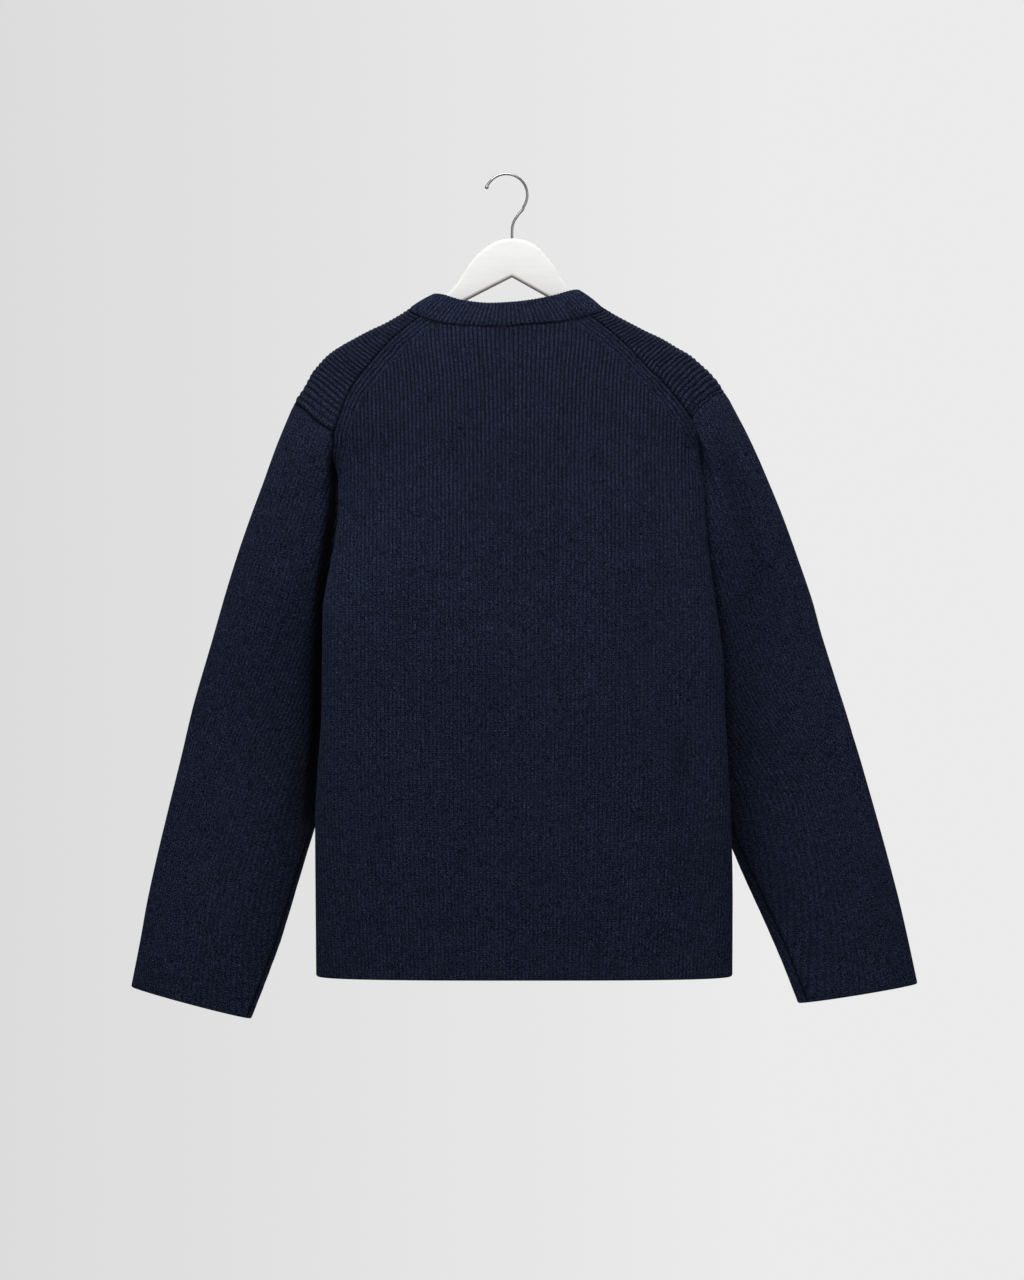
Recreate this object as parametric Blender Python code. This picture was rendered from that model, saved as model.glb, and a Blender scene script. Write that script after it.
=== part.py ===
"""A knitted cardigan on a wooden hanger, each knitted piece, band and button an object of its own.

Metres, +Z up. The origin is the point inside the hook's top that a rail touches. -Y is the cardigan's back,
+Y its buttoned front, and -X the wearer's left. Nothing moves: cloth, buttons and hanger are one body.
The tables below are drawn about the hook's stem; one shift at the end puts the origin in the hook.
"""

import math

import bmesh
import bpy
import numpy as np

# ---------------------------------------------------------------- driving sizes, in metres
WALL = 0.0030  # thickness of the knitted cloth
BAND_WALL = 0.0036  # thickness of the folded neckband
SEAM_GAP = 0.0003  # clear space between two pieces that are sewn together
BEND_CLEAR = 5.0  # how much wider the gap is where a seam turns a corner
HEM_Z = -0.8135  # lower edge of the body
RIDGE_STEP = 0.0080  # the cloth's faces beside the shoulder ridge are this short, to bend over the hanger
QUARTER = 0.2400  # about a quarter of the body's girth: the distance that one turn stands for

BUTTON_BAND = 0.0320  # width of each button band
OVERLAP_LIFT = 0.0037  # how far the upper button band stands out over the lower one
BUTTON_RADIUS = 0.0100
BUTTON_HEIGHT = 0.0034
BUTTON_HOLE_RADIUS = 0.0010
BUTTON_HOLE_REACH = 0.0026  # from the button's centre to each of its four holes
BUTTON_TURNS = 28
BUTTON_HOLE_TURNS = 8
BUTTON_PROFILE = (  # shares of the radius and of the height, from the back over the rim to the dished face
    (0.80, 0.0), (1.00, 0.42), (0.97, 0.85), (0.88, 1.0), (0.72, 0.78),
)
BUTTON_COUNT = 7
TOP_BUTTON_Z = -0.2080
LOW_BUTTON_Z = -0.7940
SLIT_LENGTH = 0.0200  # a buttonhole
SLIT_WIDTH = 0.0022

HANGER_THICK = 0.0120
HANGER_SOFT = 0.0022  # how far the wood's edges are rounded in
STEM_DEPTH = 0.0180  # how far the hook's stem stands in the wood
STEM_CLEAR = 0.0020  # the stem's hole is this much deeper
STEM_HOLE_TOP_Z = -0.0560
WIRE_RADIUS = 0.0014
TIP_RADIUS = 0.0022  # of the small ball at the hook's tip
HOOK_RADIUS = 0.0214  # of the wire's centre line
HOOK_CENTRE = (-0.0058, 0.0, -0.0185)
HOOK_START = 158.0  # degrees round the hook's centre, from the tip to the start of the stem
HOOK_END = -34.0
HOOK_BEND = (  # x and z, from the hook's ring down to the stem
    (0.0119, -0.0310), (0.0062, -0.0390), (0.0018, -0.0462), (0.0002, -0.0530), (0.0, -0.0600),
)
TIP_SHARES = (0.03, 0.15, 0.35, 0.60, 0.85, 1.15, 1.40, 1.65)  # distances along the tip's ball, in radii
WIRE_TURNS = 10
HOOK_SEAT = (HOOK_CENTRE[0], 0.0, HOOK_CENTRE[2] + HOOK_RADIUS - WIRE_RADIUS)

# ---------------------------------------------------------------- what each piece is made of
# Colour, roughness and metalness.
PAINTS = {
    "knit": ((0.016, 0.024, 0.055, 1.0), 0.95, 0.0),
    "rib_band": ((0.020, 0.029, 0.064, 1.0), 0.95, 0.0),
    "button": ((0.020, 0.018, 0.020, 1.0), 0.35, 0.0),
    "hanger_wood": ((0.800, 0.795, 0.780, 1.0), 0.45, 0.0),
    "hook_steel": ((0.620, 0.620, 0.630, 1.0), 0.25, 1.0),
}

# ---------------------------------------------------------------- the body's horizontal rings
# One row for each height: the ring's left and right ends, the depth at which those ends lie, how far it
# reaches back and front, and its superellipse power at the back and at the front.
RINGS = (
    (-0.1100, -0.0600, 0.0520, 0.0000, -0.0150, 0.0160, 2.0, 2.0),
    (-0.1335, -0.1008, 0.0905, 0.0000, -0.0225, 0.0240, 2.0, 2.0),
    (-0.1430, -0.1158, 0.1062, 0.0000, -0.0255, 0.0275, 2.0, 2.0),
    (-0.1510, -0.1300, 0.1215, 0.0000, -0.0275, 0.0300, 2.0, 2.0),
    (-0.1590, -0.1470, 0.1370, 0.0000, -0.0295, 0.0325, 2.0, 2.0),
    (-0.1670, -0.1620, 0.1540, 0.0000, -0.0320, 0.0350, 2.0, 2.0),
    (-0.1755, -0.1770, 0.1680, 0.0000, -0.0345, 0.0375, 2.0, 2.0),
    (-0.1835, -0.1880, 0.1820, 0.0000, -0.0365, 0.0395, 2.0, 2.0),
    (-0.1920, -0.1960, 0.1915, 0.0000, -0.0385, 0.0415, 2.0, 2.0),
    (-0.2000, -0.2025, 0.2005, 0.0000, -0.0405, 0.0435, 2.0, 2.0),
    (-0.2160, -0.2110, 0.2128, -0.0010, -0.0440, 0.0470, 2.1, 2.0),
    (-0.2320, -0.2200, 0.2195, -0.0020, -0.0470, 0.0500, 2.2, 2.0),
    (-0.2480, -0.2200, 0.2150, -0.0040, -0.0500, 0.0525, 2.3, 2.0),
    (-0.2640, -0.2080, 0.2030, -0.0070, -0.0525, 0.0550, 2.4, 2.1),
    (-0.2790, -0.1900, 0.1940, -0.0100, -0.0545, 0.0575, 2.5, 2.1),
    (-0.2945, -0.1795, 0.1915, -0.0130, -0.0560, 0.0595, 2.6, 2.1),
    (-0.3095, -0.1750, 0.1925, -0.0150, -0.0575, 0.0615, 2.7, 2.1),
    (-0.3370, -0.1750, 0.1945, -0.0180, -0.0600, 0.0640, 2.8, 2.2),
    (-0.3757, -0.1788, 0.1970, -0.0200, -0.0625, 0.0665, 2.9, 2.2),
    (-0.4154, -0.1863, 0.2020, -0.0210, -0.0645, 0.0680, 3.0, 2.2),
    (-0.4460, -0.1905, 0.2062, -0.0220, -0.0655, 0.0690, 3.0, 2.2),
    (-0.4890, -0.1908, 0.2122, -0.0220, -0.0665, 0.0695, 3.0, 2.2),
    (-0.5470, -0.1915, 0.2145, -0.0210, -0.0660, 0.0690, 3.0, 2.3),
    (-0.6050, -0.1955, 0.2178, -0.0190, -0.0650, 0.0680, 3.1, 2.4),
    (-0.6580, -0.1982, 0.2208, -0.0160, -0.0640, 0.0665, 3.1, 2.6),
    (-0.7380, -0.1980, 0.2226, -0.0100, -0.0620, 0.0640, 3.1, 2.8),
    (-0.8200, -0.1976, 0.2226, -0.0050, -0.0600, 0.0615, 3.1, 3.0),
)

# ---------------------------------------------------------------- seams, from above down
# x and z on the back sheet: the neck seam, then the shoulder seams, which lie on the back because the
# fronts are knitted up and over the shoulder, then the short seam that ends each front at the sleeve top.
NECK_BACK = (
    (-0.0935, -0.1440), (-0.0785, -0.1503), (-0.0570, -0.1538), (-0.0300, -0.1553), (-0.0070, -0.1556),
    (0.0145, -0.1535), (0.0430, -0.1515), (0.0620, -0.1480), (0.0790, -0.1432),
)
SHOULDER_SEAM = {
    "left": (
        (-0.0935, -0.1440), (-0.1190, -0.1650), (-0.1316, -0.1780), (-0.1450, -0.1940),
        (-0.1580, -0.2110), (-0.1680, -0.2290), (-0.1745, -0.2480), (-0.1795, -0.2630),
    ),
    "right": (
        (0.0790, -0.1432), (0.0990, -0.1590), (0.1180, -0.1765), (0.1367, -0.1967),
        (0.1520, -0.2120), (0.1650, -0.2270), (0.1745, -0.2390), (0.1815, -0.2490),
    ),
}
SLEEVE_TOP = {
    "left": ((-0.1795, -0.2630), (-0.1880, -0.2580), (-0.1990, -0.2500), (-0.2110, -0.2390)),
    "right": ((0.1815, -0.2490), (0.1877, -0.2400), (0.1979, -0.2310), (0.2060, -0.2240)),
}
# turn and z of the armhole: turn 1 is the ring's end and 2 the centre of the front, on either side.
ARMHOLE_BACK = {  # from the sleeve top down to the underarm
    "left": ((0.980, -0.3000), (1.010, -0.3370), (1.040, -0.3757), (1.090, -0.4154), (1.190, -0.4500)),
    "right": ((0.980, -0.2900), (1.010, -0.3300), (1.040, -0.3757), (1.090, -0.4154), (1.210, -0.4500)),
}
UNDERARM = {"left": (1.340, -0.4720), "right": (1.390, -0.4720)}
ARMHOLE_FRONT = {  # from the underarm up to the shoulder point
    "left": ((1.380, -0.4460), (1.385, -0.4050), (1.350, -0.3500), (1.280, -0.3050), (1.180, -0.2680)),
    "right": ((1.430, -0.4460), (1.430, -0.4050), (1.380, -0.3500), (1.290, -0.3000), (1.180, -0.2600)),
}
SHOULDER_POINT_Z = {"left": -0.2300, "right": -0.2200}
SIDE_SEAM_TURN = 1.040
SIDE_SEAM = (  # turn and z, from the hem up to just below the underarm
    (SIDE_SEAM_TURN, HEM_Z), (SIDE_SEAM_TURN, -0.7400), (SIDE_SEAM_TURN, -0.6600), (SIDE_SEAM_TURN, -0.5800),
    (1.1200, -0.5100),
)
RIDGE_Z = (-0.2080, -0.1960, -0.1840, -0.1740, -0.1650, -0.1560, -0.1470, -0.1400)
NECK_OVER_TURN = 0.92  # the front's neck edge crosses the back here, this far above the seam's end
NECK_OVER_RISE = 0.0060
NECK_RIDGE_Z = {"left": -0.1345, "right": -0.1320}
NECK_FRONT = (  # distance out from the centre, z
    (0.0940, -0.1570), (0.0800, -0.1830), (0.0600, -0.2060), (0.0380, -0.2190), (0.0160, -0.2235),
)
FRONT_EDGE_Z = (HEM_Z, -0.7000, -0.5000, -0.3500, NECK_FRONT[-1][1])

# How many faces lie along each seam; both pieces of a seam share its points.
COUNT = {"side": 10, "back_armhole": 8, "front_armhole": 9, "sleeve_top": 3, "shoulder": 8,
         "neck_back": 24, "neck_front": 7, "sleeve_rows": 17, "neckband_rows": 3}
SIDE_FADE = 3.0  # how quickly the side edges' shape dies away inwards across the back
HEM_CROWD = 0.36  # how much closer together the back's columns lie at the hem's ends
EVEN_ROUNDS = 5  # how often a front's faces are evened out
LAP_START = 0.70  # the share of the left front's width past which it rises towards the upper band

# ---------------------------------------------------------------- the sleeves
# Each sleeve's own frame starts at the shoulder point, runs along the arm and counts inwards to the body.
SLEEVE_FRAME = {  # x and z of the shoulder point, tilt out from the vertical
    "left": (-0.2234, -0.2318, math.radians(16.0)),
    "right": (0.2234, -0.2318, math.radians(17.5)),
}
# One row for each distance along: the outer and inner edges' distances in, how far the inner edge runs on
# past the outer one, the depths at which both edges lie, and half of the sleeve's thickness.
SLEEVE_ROWS = {
    "left": (
        (0.000, 0.0015, 0.1400, 0.0000, -0.0020, 0.0080, 0.0270),
        (0.044, -0.0030, 0.1440, 0.0000, -0.0010, 0.0110, 0.0290),
        (0.083, -0.0055, 0.1480, 0.0000, 0.0010, 0.0160, 0.0290),
        (0.126, -0.0090, 0.1460, 0.0000, 0.0040, 0.0250, 0.0280),
        (0.169, -0.0115, 0.1420, 0.0000, 0.0080, 0.0360, 0.0270),
        (0.211, -0.0125, 0.1385, 0.0000, 0.0110, 0.0470, 0.0260),
        (0.254, -0.0125, 0.1390, 0.0000, 0.0130, 0.0570, 0.0250),
        (0.318, -0.0130, 0.1395, 0.0000, 0.0140, 0.0620, 0.0245),
        (0.380, -0.0102, 0.1375, 0.0000, 0.0150, 0.0580, 0.0240),
        (0.443, -0.0080, 0.1365, 0.0000, 0.0150, 0.0490, 0.0230),
        (0.527, -0.0033, 0.1360, 0.0000, 0.0150, 0.0400, 0.0210),
        (0.568, 0.0008, 0.1335, 0.0000, 0.0150, 0.0350, 0.0190),
        (0.6187, 0.0052, 0.1290, 0.0000, 0.0150, 0.0320, 0.0165),
    ),
    "right": (
        (0.000, 0.0015, 0.1400, 0.0000, -0.0020, 0.0080, 0.0270),
        (0.045, -0.0067, 0.1440, 0.0000, -0.0010, 0.0110, 0.0290),
        (0.085, -0.0112, 0.1480, 0.0000, 0.0020, 0.0170, 0.0290),
        (0.129, -0.0152, 0.1460, 0.0000, 0.0060, 0.0270, 0.0280),
        (0.172, -0.0175, 0.1410, 0.0000, 0.0120, 0.0400, 0.0270),
        (0.215, -0.0190, 0.1370, 0.0000, 0.0170, 0.0510, 0.0260),
        (0.257, -0.0176, 0.1380, 0.0000, 0.0190, 0.0600, 0.0250),
        (0.322, -0.0177, 0.1380, 0.0000, 0.0190, 0.0640, 0.0245),
        (0.386, -0.0170, 0.1350, 0.0000, 0.0180, 0.0600, 0.0240),
        (0.449, -0.0152, 0.1305, 0.0000, 0.0170, 0.0500, 0.0230),
        (0.533, -0.0115, 0.1215, -0.0040, 0.0160, 0.0400, 0.0210),
        (0.575, -0.0081, 0.1180, -0.0090, 0.0150, 0.0350, 0.0190),
        (0.6228, -0.0036, 0.1154, -0.0150, 0.0150, 0.0320, 0.0165),
    ),
}
SLEEVE_CLEAR = 0.0055  # how far a hanging sleeve's middle surface keeps from the body's
SETTLE_LENGTH = 0.075  # over this length the sleeve goes from the armhole's shape to its own
SETTLE_PACE = 1.6  # the columns are evenly spread round the sleeve this many times sooner than its end
SQUARENESS = 0.10  # how flat the sleeve's back and front are, as the swing of its columns round it
FOLD_START = 0.94  # the head folds over the body where the two surfaces turn further apart than this
FOLD_CORE = 0.90
FOLD_RANGE = 0.50  # and is folded fully once they have turned this much more
FRONT_FOLD = 0.5  # the head's front is folded at least this much
FOLD_PARTED = 0.75  # where the surfaces still agree this well, the head's edge follows the body's
HEAD_GAP = (1.4, 0.6)  # the head keeps this many seam gaps away, and this many more where it is folded
MAX_PUSH = 0.02  # the furthest that one round moves a point out of the body

# ---------------------------------------------------------------- the neckband's top edge
# x, y and z: round the front from the shoulder to the centre, and along the back between the shoulders.
BAND_FRONT = {
    "left": (
        (-0.0780, 0.0000, -0.1203), (-0.0765, 0.0140, -0.1350), (-0.0690, 0.0270, -0.1600),
        (-0.0560, 0.0350, -0.1810), (-0.0360, 0.0395, -0.1930), (-0.0160, 0.0410, -0.1970),
    ),
    "right": (
        (0.0665, 0.0000, -0.1160), (0.0670, 0.0140, -0.1320), (0.0610, 0.0270, -0.1590),
        (0.0510, 0.0350, -0.1810), (0.0340, 0.0395, -0.1930), (0.0160, 0.0410, -0.1970),
    ),
}
BAND_BACK = (
    (-0.0780, 0.0000, -0.1203), (-0.0710, -0.0105, -0.1213), (-0.0500, -0.0175, -0.1276),
    (-0.0224, -0.0215, -0.1308), (0.0000, -0.0225, -0.1298), (0.0214, -0.0218, -0.1272),
    (0.0430, -0.0175, -0.1225), (0.0600, -0.0105, -0.1172), (0.0665, 0.0000, -0.1160),
)

# ---------------------------------------------------------------- the hanger, x and z
HANGER_TOP = {
    "left": (
        (0.0000, -0.0633), (-0.0140, -0.0655), (-0.0255, -0.0717), (-0.0360, -0.0800), (-0.0439, -0.0890),
        (-0.0500, -0.0985), (-0.0545, -0.1054), (-0.0610, -0.1140), (-0.0690, -0.1215),
        (-0.0790, -0.1285), (-0.1020, -0.1410), (-0.1270, -0.1555), (-0.1490, -0.1672),
        (-0.1700, -0.1787), (-0.1860, -0.1890),
    ),
    "right": (
        (0.0000, -0.0633), (0.0140, -0.0655), (0.0255, -0.0717), (0.0360, -0.0820), (0.0449, -0.0931),
        (0.0530, -0.1055), (0.0599, -0.1155), (0.0690, -0.1260), (0.0900, -0.1405), (0.1070, -0.1500),
        (0.1230, -0.1580), (0.1400, -0.1660), (0.1560, -0.1745), (0.1700, -0.1835), (0.1830, -0.1925),
    ),
}
HANGER_END = {"left": (-0.1935, -0.1975), "right": (0.1905, -0.2010)}
HANGER_BOTTOM = {
    "left": ((-0.1880, -0.2035), (-0.1500, -0.1830), (-0.1000, -0.1545), (-0.0436, -0.1247)),
    "right": ((0.1850, -0.2065), (0.1500, -0.1880), (0.1000, -0.1590), (0.0366, -0.1230)),
}
HANGER_APEX = (0.0000, -0.1024)


# ---------------------------------------------------------------- curves
def fit(xs, ys):
    """A monotone cubic through a short table, as its points and the slopes there."""
    xs = np.asarray(xs, float)
    ys = np.asarray(ys, float)
    if xs[0] > xs[-1]:
        xs = xs[::-1]
        ys = ys[::-1]
    step = np.diff(xs)
    rise = np.diff(ys) / step
    tangent = np.zeros_like(ys)
    tangent[0] = rise[0]
    tangent[-1] = rise[-1]
    for i in range(1, len(xs) - 1):
        if rise[i - 1] * rise[i] > 0:
            a = 2 * step[i] + step[i - 1]
            b = step[i] + 2 * step[i - 1]
            tangent[i] = (a + b) / (a / rise[i - 1] + b / rise[i])
    return xs, ys, tangent


def read_off(curve, x):
    """The fitted cubic's height at x."""
    xs, ys, tangent = curve
    x = np.clip(x, xs[0], xs[-1])
    i = np.clip(np.searchsorted(xs, x) - 1, 0, len(xs) - 2)
    step = xs[i + 1] - xs[i]
    t = (x - xs[i]) / step
    return (
        (2 * t**3 - 3 * t**2 + 1) * ys[i]
        + (t**3 - 2 * t**2 + t) * step * tangent[i]
        + (3 * t**2 - 2 * t**3) * ys[i + 1]
        + (t**3 - t**2) * step * tangent[i + 1]
    )


def fit_columns(rows):
    """One fitted curve for each column of a table after its first."""
    table = np.array(rows)
    return [fit(table[:, 0], table[:, k]) for k in range(1, table.shape[1])]


RING_CURVES = fit_columns(RINGS)
SLEEVE_CURVES = {hand: fit_columns(rows) for hand, rows in SLEEVE_ROWS.items()}


def resample(points, count, close=0.0):
    """The same curve as count equal steps, the last of them split so that one point lies close to the end."""
    points = np.asarray(points, float)
    reach = np.concatenate(([0.0], np.cumsum(np.linalg.norm(np.diff(points, axis=0), axis=1))))
    fine = np.linspace(0.0, reach[-1], 40 * count + 1)
    curve = np.stack([read_off(fit(reach, points[:, k]), fine) for k in range(3)], axis=1)
    length = np.concatenate(([0.0], np.cumsum(np.linalg.norm(np.diff(curve, axis=0), axis=1))))
    if close:
        wanted = np.append(np.linspace(0.0, length[-1] - close, count), length[-1])
    else:
        wanted = np.linspace(0.0, length[-1], count + 1)
    return np.stack([np.interp(wanted, length, curve[:, k]) for k in range(3)], axis=1)


# ---------------------------------------------------------------- the body's form
def ring(z):
    """The seven sizes of the body's horizontal ring at each height."""
    return [read_off(curve, z) for curve in RING_CURVES]


def level(points):
    """1 on the body's form, more outside it."""
    x, y, z = points[..., 0], points[..., 1], points[..., 2]
    left, right, side, back, front, back_power, front_power = ring(z)
    blend = np.clip((y - side) / 0.024 + 0.5, 0.0, 1.0)
    blend = blend * blend * (3 - 2 * blend)
    power = back_power + (front_power - back_power) * blend
    across = np.abs(x - (left + right) / 2) / ((right - left) / 2)
    depth = np.where(y < side, (side - y) / (side - back), (y - side) / (front - side))
    return (across**power + depth**power) ** (1 / power)


def slope(points):
    """The gradient of the form's level."""
    step = 1e-5
    parts = []
    for k in range(3):
        move = np.zeros(3)
        move[k] = step
        parts.append((level(points + move) - level(points - move)) / (2 * step))
    return np.stack(parts, axis=-1)


def settle(points):
    """Points near the form, moved on to it."""
    points = np.array(points, float)
    for _ in range(8):
        gradient = slope(points)
        size = np.sum(gradient**2, axis=-1, keepdims=True)
        move = gradient * ((1 - level(points))[..., None] / size)
        length = np.linalg.norm(move, axis=-1, keepdims=True)
        points = points + move * np.minimum(1.0, 0.02 / np.maximum(length, 1e-9))
    return points


def outward(points):
    """The form's outward direction."""
    gradient = slope(points)
    return gradient / np.linalg.norm(gradient, axis=-1, keepdims=True)


def on_sheet(x, z, sheet):
    """The point of the form at x and z, on its back or its front."""
    left, right, side, back, front, back_power, front_power = [float(v) for v in ring(np.array(z))]
    across = min(1.0, abs(x - (left + right) / 2) / ((right - left) / 2))
    power = back_power if sheet == "back" else front_power
    depth = (1 - across**power) ** (1 / power)
    y = side + (back - side if sheet == "back" else front - side) * depth
    return settle(np.array([x, y, z]))


def quarter(z, hand, over):
    """Half of the ring's back or front on one side, as points and the turns they stand for."""
    left, right, side, back, front, back_power, front_power = [float(v) for v in ring(np.array(z))]
    angle = np.linspace(0.0, math.pi / 2, 200)
    if over:
        power, reach = front_power, front - side
        across = np.cos(angle) ** (2 / power)
        depth = np.sin(angle) ** (2 / power)
    else:
        power, reach = back_power, back - side
        across = np.sin(angle) ** (2 / power)
        depth = np.cos(angle) ** (2 / power)
    sign = -1 if hand == "left" else 1
    x = (left + right) / 2 + sign * (right - left) / 2 * across
    y = side + reach * depth
    length = np.concatenate(([0.0], np.cumsum(np.hypot(np.diff(x), np.diff(y)))))
    return x, y, length / length[-1] + (1 if over else 0)


def on_ring(turn, z, hand):
    """The point at a turn: 0 is the centre of the back, 1 the ring's end and 2 the centre of the front."""
    x, y, turns = quarter(z, hand, turn > 1)
    return np.array([np.interp(turn, turns, x), np.interp(turn, turns, y), z])


def turn_of(point):
    """The signed turn of a point of the form, less than 0 on the left."""
    left, right = [float(v) for v in ring(np.array(point[2]))[:2]]
    hand = "left" if point[0] < (left + right) / 2 else "right"
    found = []
    for over in (False, True):
        x, y, turns = quarter(point[2], hand, over)
        gap = np.hypot(x - point[0], y - point[1])
        best = int(np.argmin(gap))
        found.append((gap[best], turns[best]))
    turn = min(found)[1]
    return -turn if hand == "left" else turn


# ---------------------------------------------------------------- seams as points in space
def seams(hand):
    """The seams of one side of the body, each shared by the pieces it joins."""
    sign = -1 if hand == "left" else 1
    neck_end = NECK_BACK[0] if hand == "left" else NECK_BACK[-1]
    shoulder = [on_sheet(x, z, "back") for x, z in SHOULDER_SEAM[hand]]
    top = [on_sheet(x, z, "back") for x, z in SLEEVE_TOP[hand]]
    point = on_ring(1.0, SHOULDER_POINT_Z[hand], hand)
    back = [on_ring(turn, z, hand) for turn, z in ARMHOLE_BACK[hand]]
    under = on_ring(UNDERARM[hand][0], UNDERARM[hand][1], hand)
    front = [on_ring(turn, z, hand) for turn, z in ARMHOLE_FRONT[hand]]
    side = [on_ring(turn, z, hand) for turn, z in SIDE_SEAM] + [under]
    crossing = on_ring(NECK_OVER_TURN, neck_end[1] + NECK_OVER_RISE, hand)
    over = [on_sheet(neck_end[0], neck_end[1], "back"), crossing]
    over.append(on_ring(1.0, NECK_RIDGE_Z[hand], hand))
    neck = over[-1:] + [on_sheet(sign * x, z, "front") for x, z in NECK_FRONT]
    ridge = [point] + [on_ring(1.0, z, hand) for z in RIDGE_Z] + over[-1:]
    edge = [on_sheet(sign * BUTTON_BAND / 2, z, "front") for z in FRONT_EDGE_Z]
    found = {
        "shoulder": resample(shoulder, COUNT["shoulder"]),
        "sleeve_top": resample(top + [point], COUNT["sleeve_top"]),
        "back_armhole": resample([top[0]] + back + [under], COUNT["back_armhole"]),
        "front_armhole": resample([under] + front + [point], COUNT["front_armhole"], RIDGE_STEP),
        "side": resample(side, COUNT["side"]),
        "ridge": resample(ridge, COUNT["shoulder"]),
        "neck_over": resample(over, COUNT["sleeve_top"]),
        "neck_front": resample(neck, COUNT["neck_front"]),
        "edge": edge,
    }
    return {name: settle(points) for name, points in found.items()}


def along_hem(first, last, count, crowd=0.0):
    """The hem between two signed turns, with its points crowded towards the far ends."""
    share = np.linspace(-1.0, 1.0, count + 1)
    share = share * (1 + crowd) - crowd * share**3
    turns = first + (last - first) * (share + 1) / 2
    return np.array([on_ring(abs(turn), HEM_Z, "left" if turn < 0 else "right") for turn in turns])


# ---------------------------------------------------------------- sheets
def chart_patch(bottom, top, left, right):
    """Like patch, in turn and height; the curving of the side edges dies away quickly inwards."""
    u = np.linspace(0.0, 1.0, len(bottom))[None, :]
    v = np.linspace(0.0, 1.0, len(left))[:, None]
    grid = (1 - v)[..., None] * bottom[None] + v[..., None] * top[None]
    for k, power in ((0, SIDE_FADE), (2, 1.0)):
        before = (left[:, k] - grid[:, 0, k])[:, None]
        after = (right[:, k] - grid[:, -1, k])[:, None]
        grid[..., k] += (1 - u) ** power * before + u**power * after
    return grid


def patch(bottom, top, left, right, even=0):
    """Rows from the bottom edge to the top one and columns from the left edge to the right one."""
    rows = len(left)
    columns = len(bottom)
    u = np.linspace(0.0, 1.0, columns)[None, :, None]
    v = np.linspace(0.0, 1.0, rows)[:, None, None]
    grid = (1 - v) * bottom[None] + v * top[None] + (1 - u) * left[:, None] + u * right[:, None]
    grid -= (1 - u) * (1 - v) * bottom[0] + u * (1 - v) * bottom[-1] + (1 - u) * v * top[0] + u * v * top[-1]
    inner = settle(grid[1:-1, 1:-1])
    for _ in range(even):
        full = grid.copy()
        full[1:-1, 1:-1] = inner
        inner = settle((full[:-2, 1:-1] + full[2:, 1:-1] + full[1:-1, :-2] + full[1:-1, 2:]) / 4)
    grid[1:-1, 1:-1] = inner
    return grid


def trim(grid, edges, gap=SEAM_GAP / 2):
    """The same sheet with the named edges drawn back from their seams."""
    grid = grid.copy()
    views = {
        "bottom": (0, 1, 0), "top": (-1, -2, 0), "left": (0, 1, 1), "right": (-1, -2, 1),
    }
    for name in edges:
        edge, inner, axis = views[name]
        line = grid[edge] if axis == 0 else grid[:, edge]
        beside = grid[inner] if axis == 0 else grid[:, inner]
        along = np.gradient(line, axis=0)
        along /= np.linalg.norm(along, axis=1, keepdims=True)
        step = np.diff(line, axis=0)
        step /= np.linalg.norm(step, axis=1, keepdims=True)
        bend = np.zeros((len(line), 1))
        bend[1:-1, 0] = 1 - np.sum(step[1:] * step[:-1], axis=1)
        into = beside - line
        across = into - np.sum(into * along, axis=1, keepdims=True) * along
        width = np.linalg.norm(across, axis=1, keepdims=True)
        moved = line + across / width * gap * (1 + BEND_CLEAR * bend)
        if axis == 0:
            grid[edge] = moved
        else:
            grid[:, edge] = moved
    return grid


def sheet(name, grid, normal, wall, closed=False, holes=(), material="knit"):
    """A sheet of even thickness about a grid of points; closed joins its last column to its first."""
    rows, columns = grid.shape[:2]
    outer = (grid + normal * wall / 2).reshape(-1, 3)
    inner = (grid - normal * wall / 2).reshape(-1, 3)
    offset = rows * columns
    faces = []
    kept = set()
    wide = columns if closed else columns - 1
    for i in range(rows - 1):
        for j in range(wide):
            if (i, j) not in holes:
                kept.add((i, j))
    for i, j in sorted(kept):
        k = (j + 1) % columns
        a, b, c, d = i * columns + j, i * columns + k, (i + 1) * columns + k, (i + 1) * columns + j
        faces.append((a, b, c, d))
        faces.append((offset + d, offset + c, offset + b, offset + a))
        beside = (((i - 1, j), a, b), ((i + 1, j), c, d))
        if closed:
            sides = ()
        else:
            sides = (((i, j - 1), d, a), ((i, j + 1), b, c))
        for cell, p, q in beside + sides:
            if cell not in kept:
                faces.append((q, p, offset + p, offset + q))
    return solid(name, np.vstack((outer, inner)), faces, material, True)


def paint(name):
    """The material of one of PAINTS, made when it is first asked for."""
    made = bpy.data.materials.get(name)
    if made is None:
        colour, roughness, metalness = PAINTS[name]
        made = bpy.data.materials.new(name)
        made.use_nodes = True
        surface = made.node_tree.nodes["Principled BSDF"]
        surface.inputs["Base Color"].default_value = colour
        surface.inputs["Roughness"].default_value = roughness
        surface.inputs["Metallic"].default_value = metalness
        made.diffuse_color = colour
    return made


def collection(name):
    """A collection of the scene, made when it is first asked for."""
    found = bpy.data.collections.get(name)
    if found is None:
        found = bpy.data.collections.new(name)
        bpy.context.scene.collection.children.link(found)
    return found


def cut(body, cutter, name):
    """Take a cutter's form out of a body; the cutter itself is only shown as wires."""
    cutter.hide_render = True
    cutter.display_type = "WIRE"
    made = body.modifiers.new(name, "BOOLEAN")
    made.operation = "DIFFERENCE"
    made.solver = "EXACT"
    made.object = cutter


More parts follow.
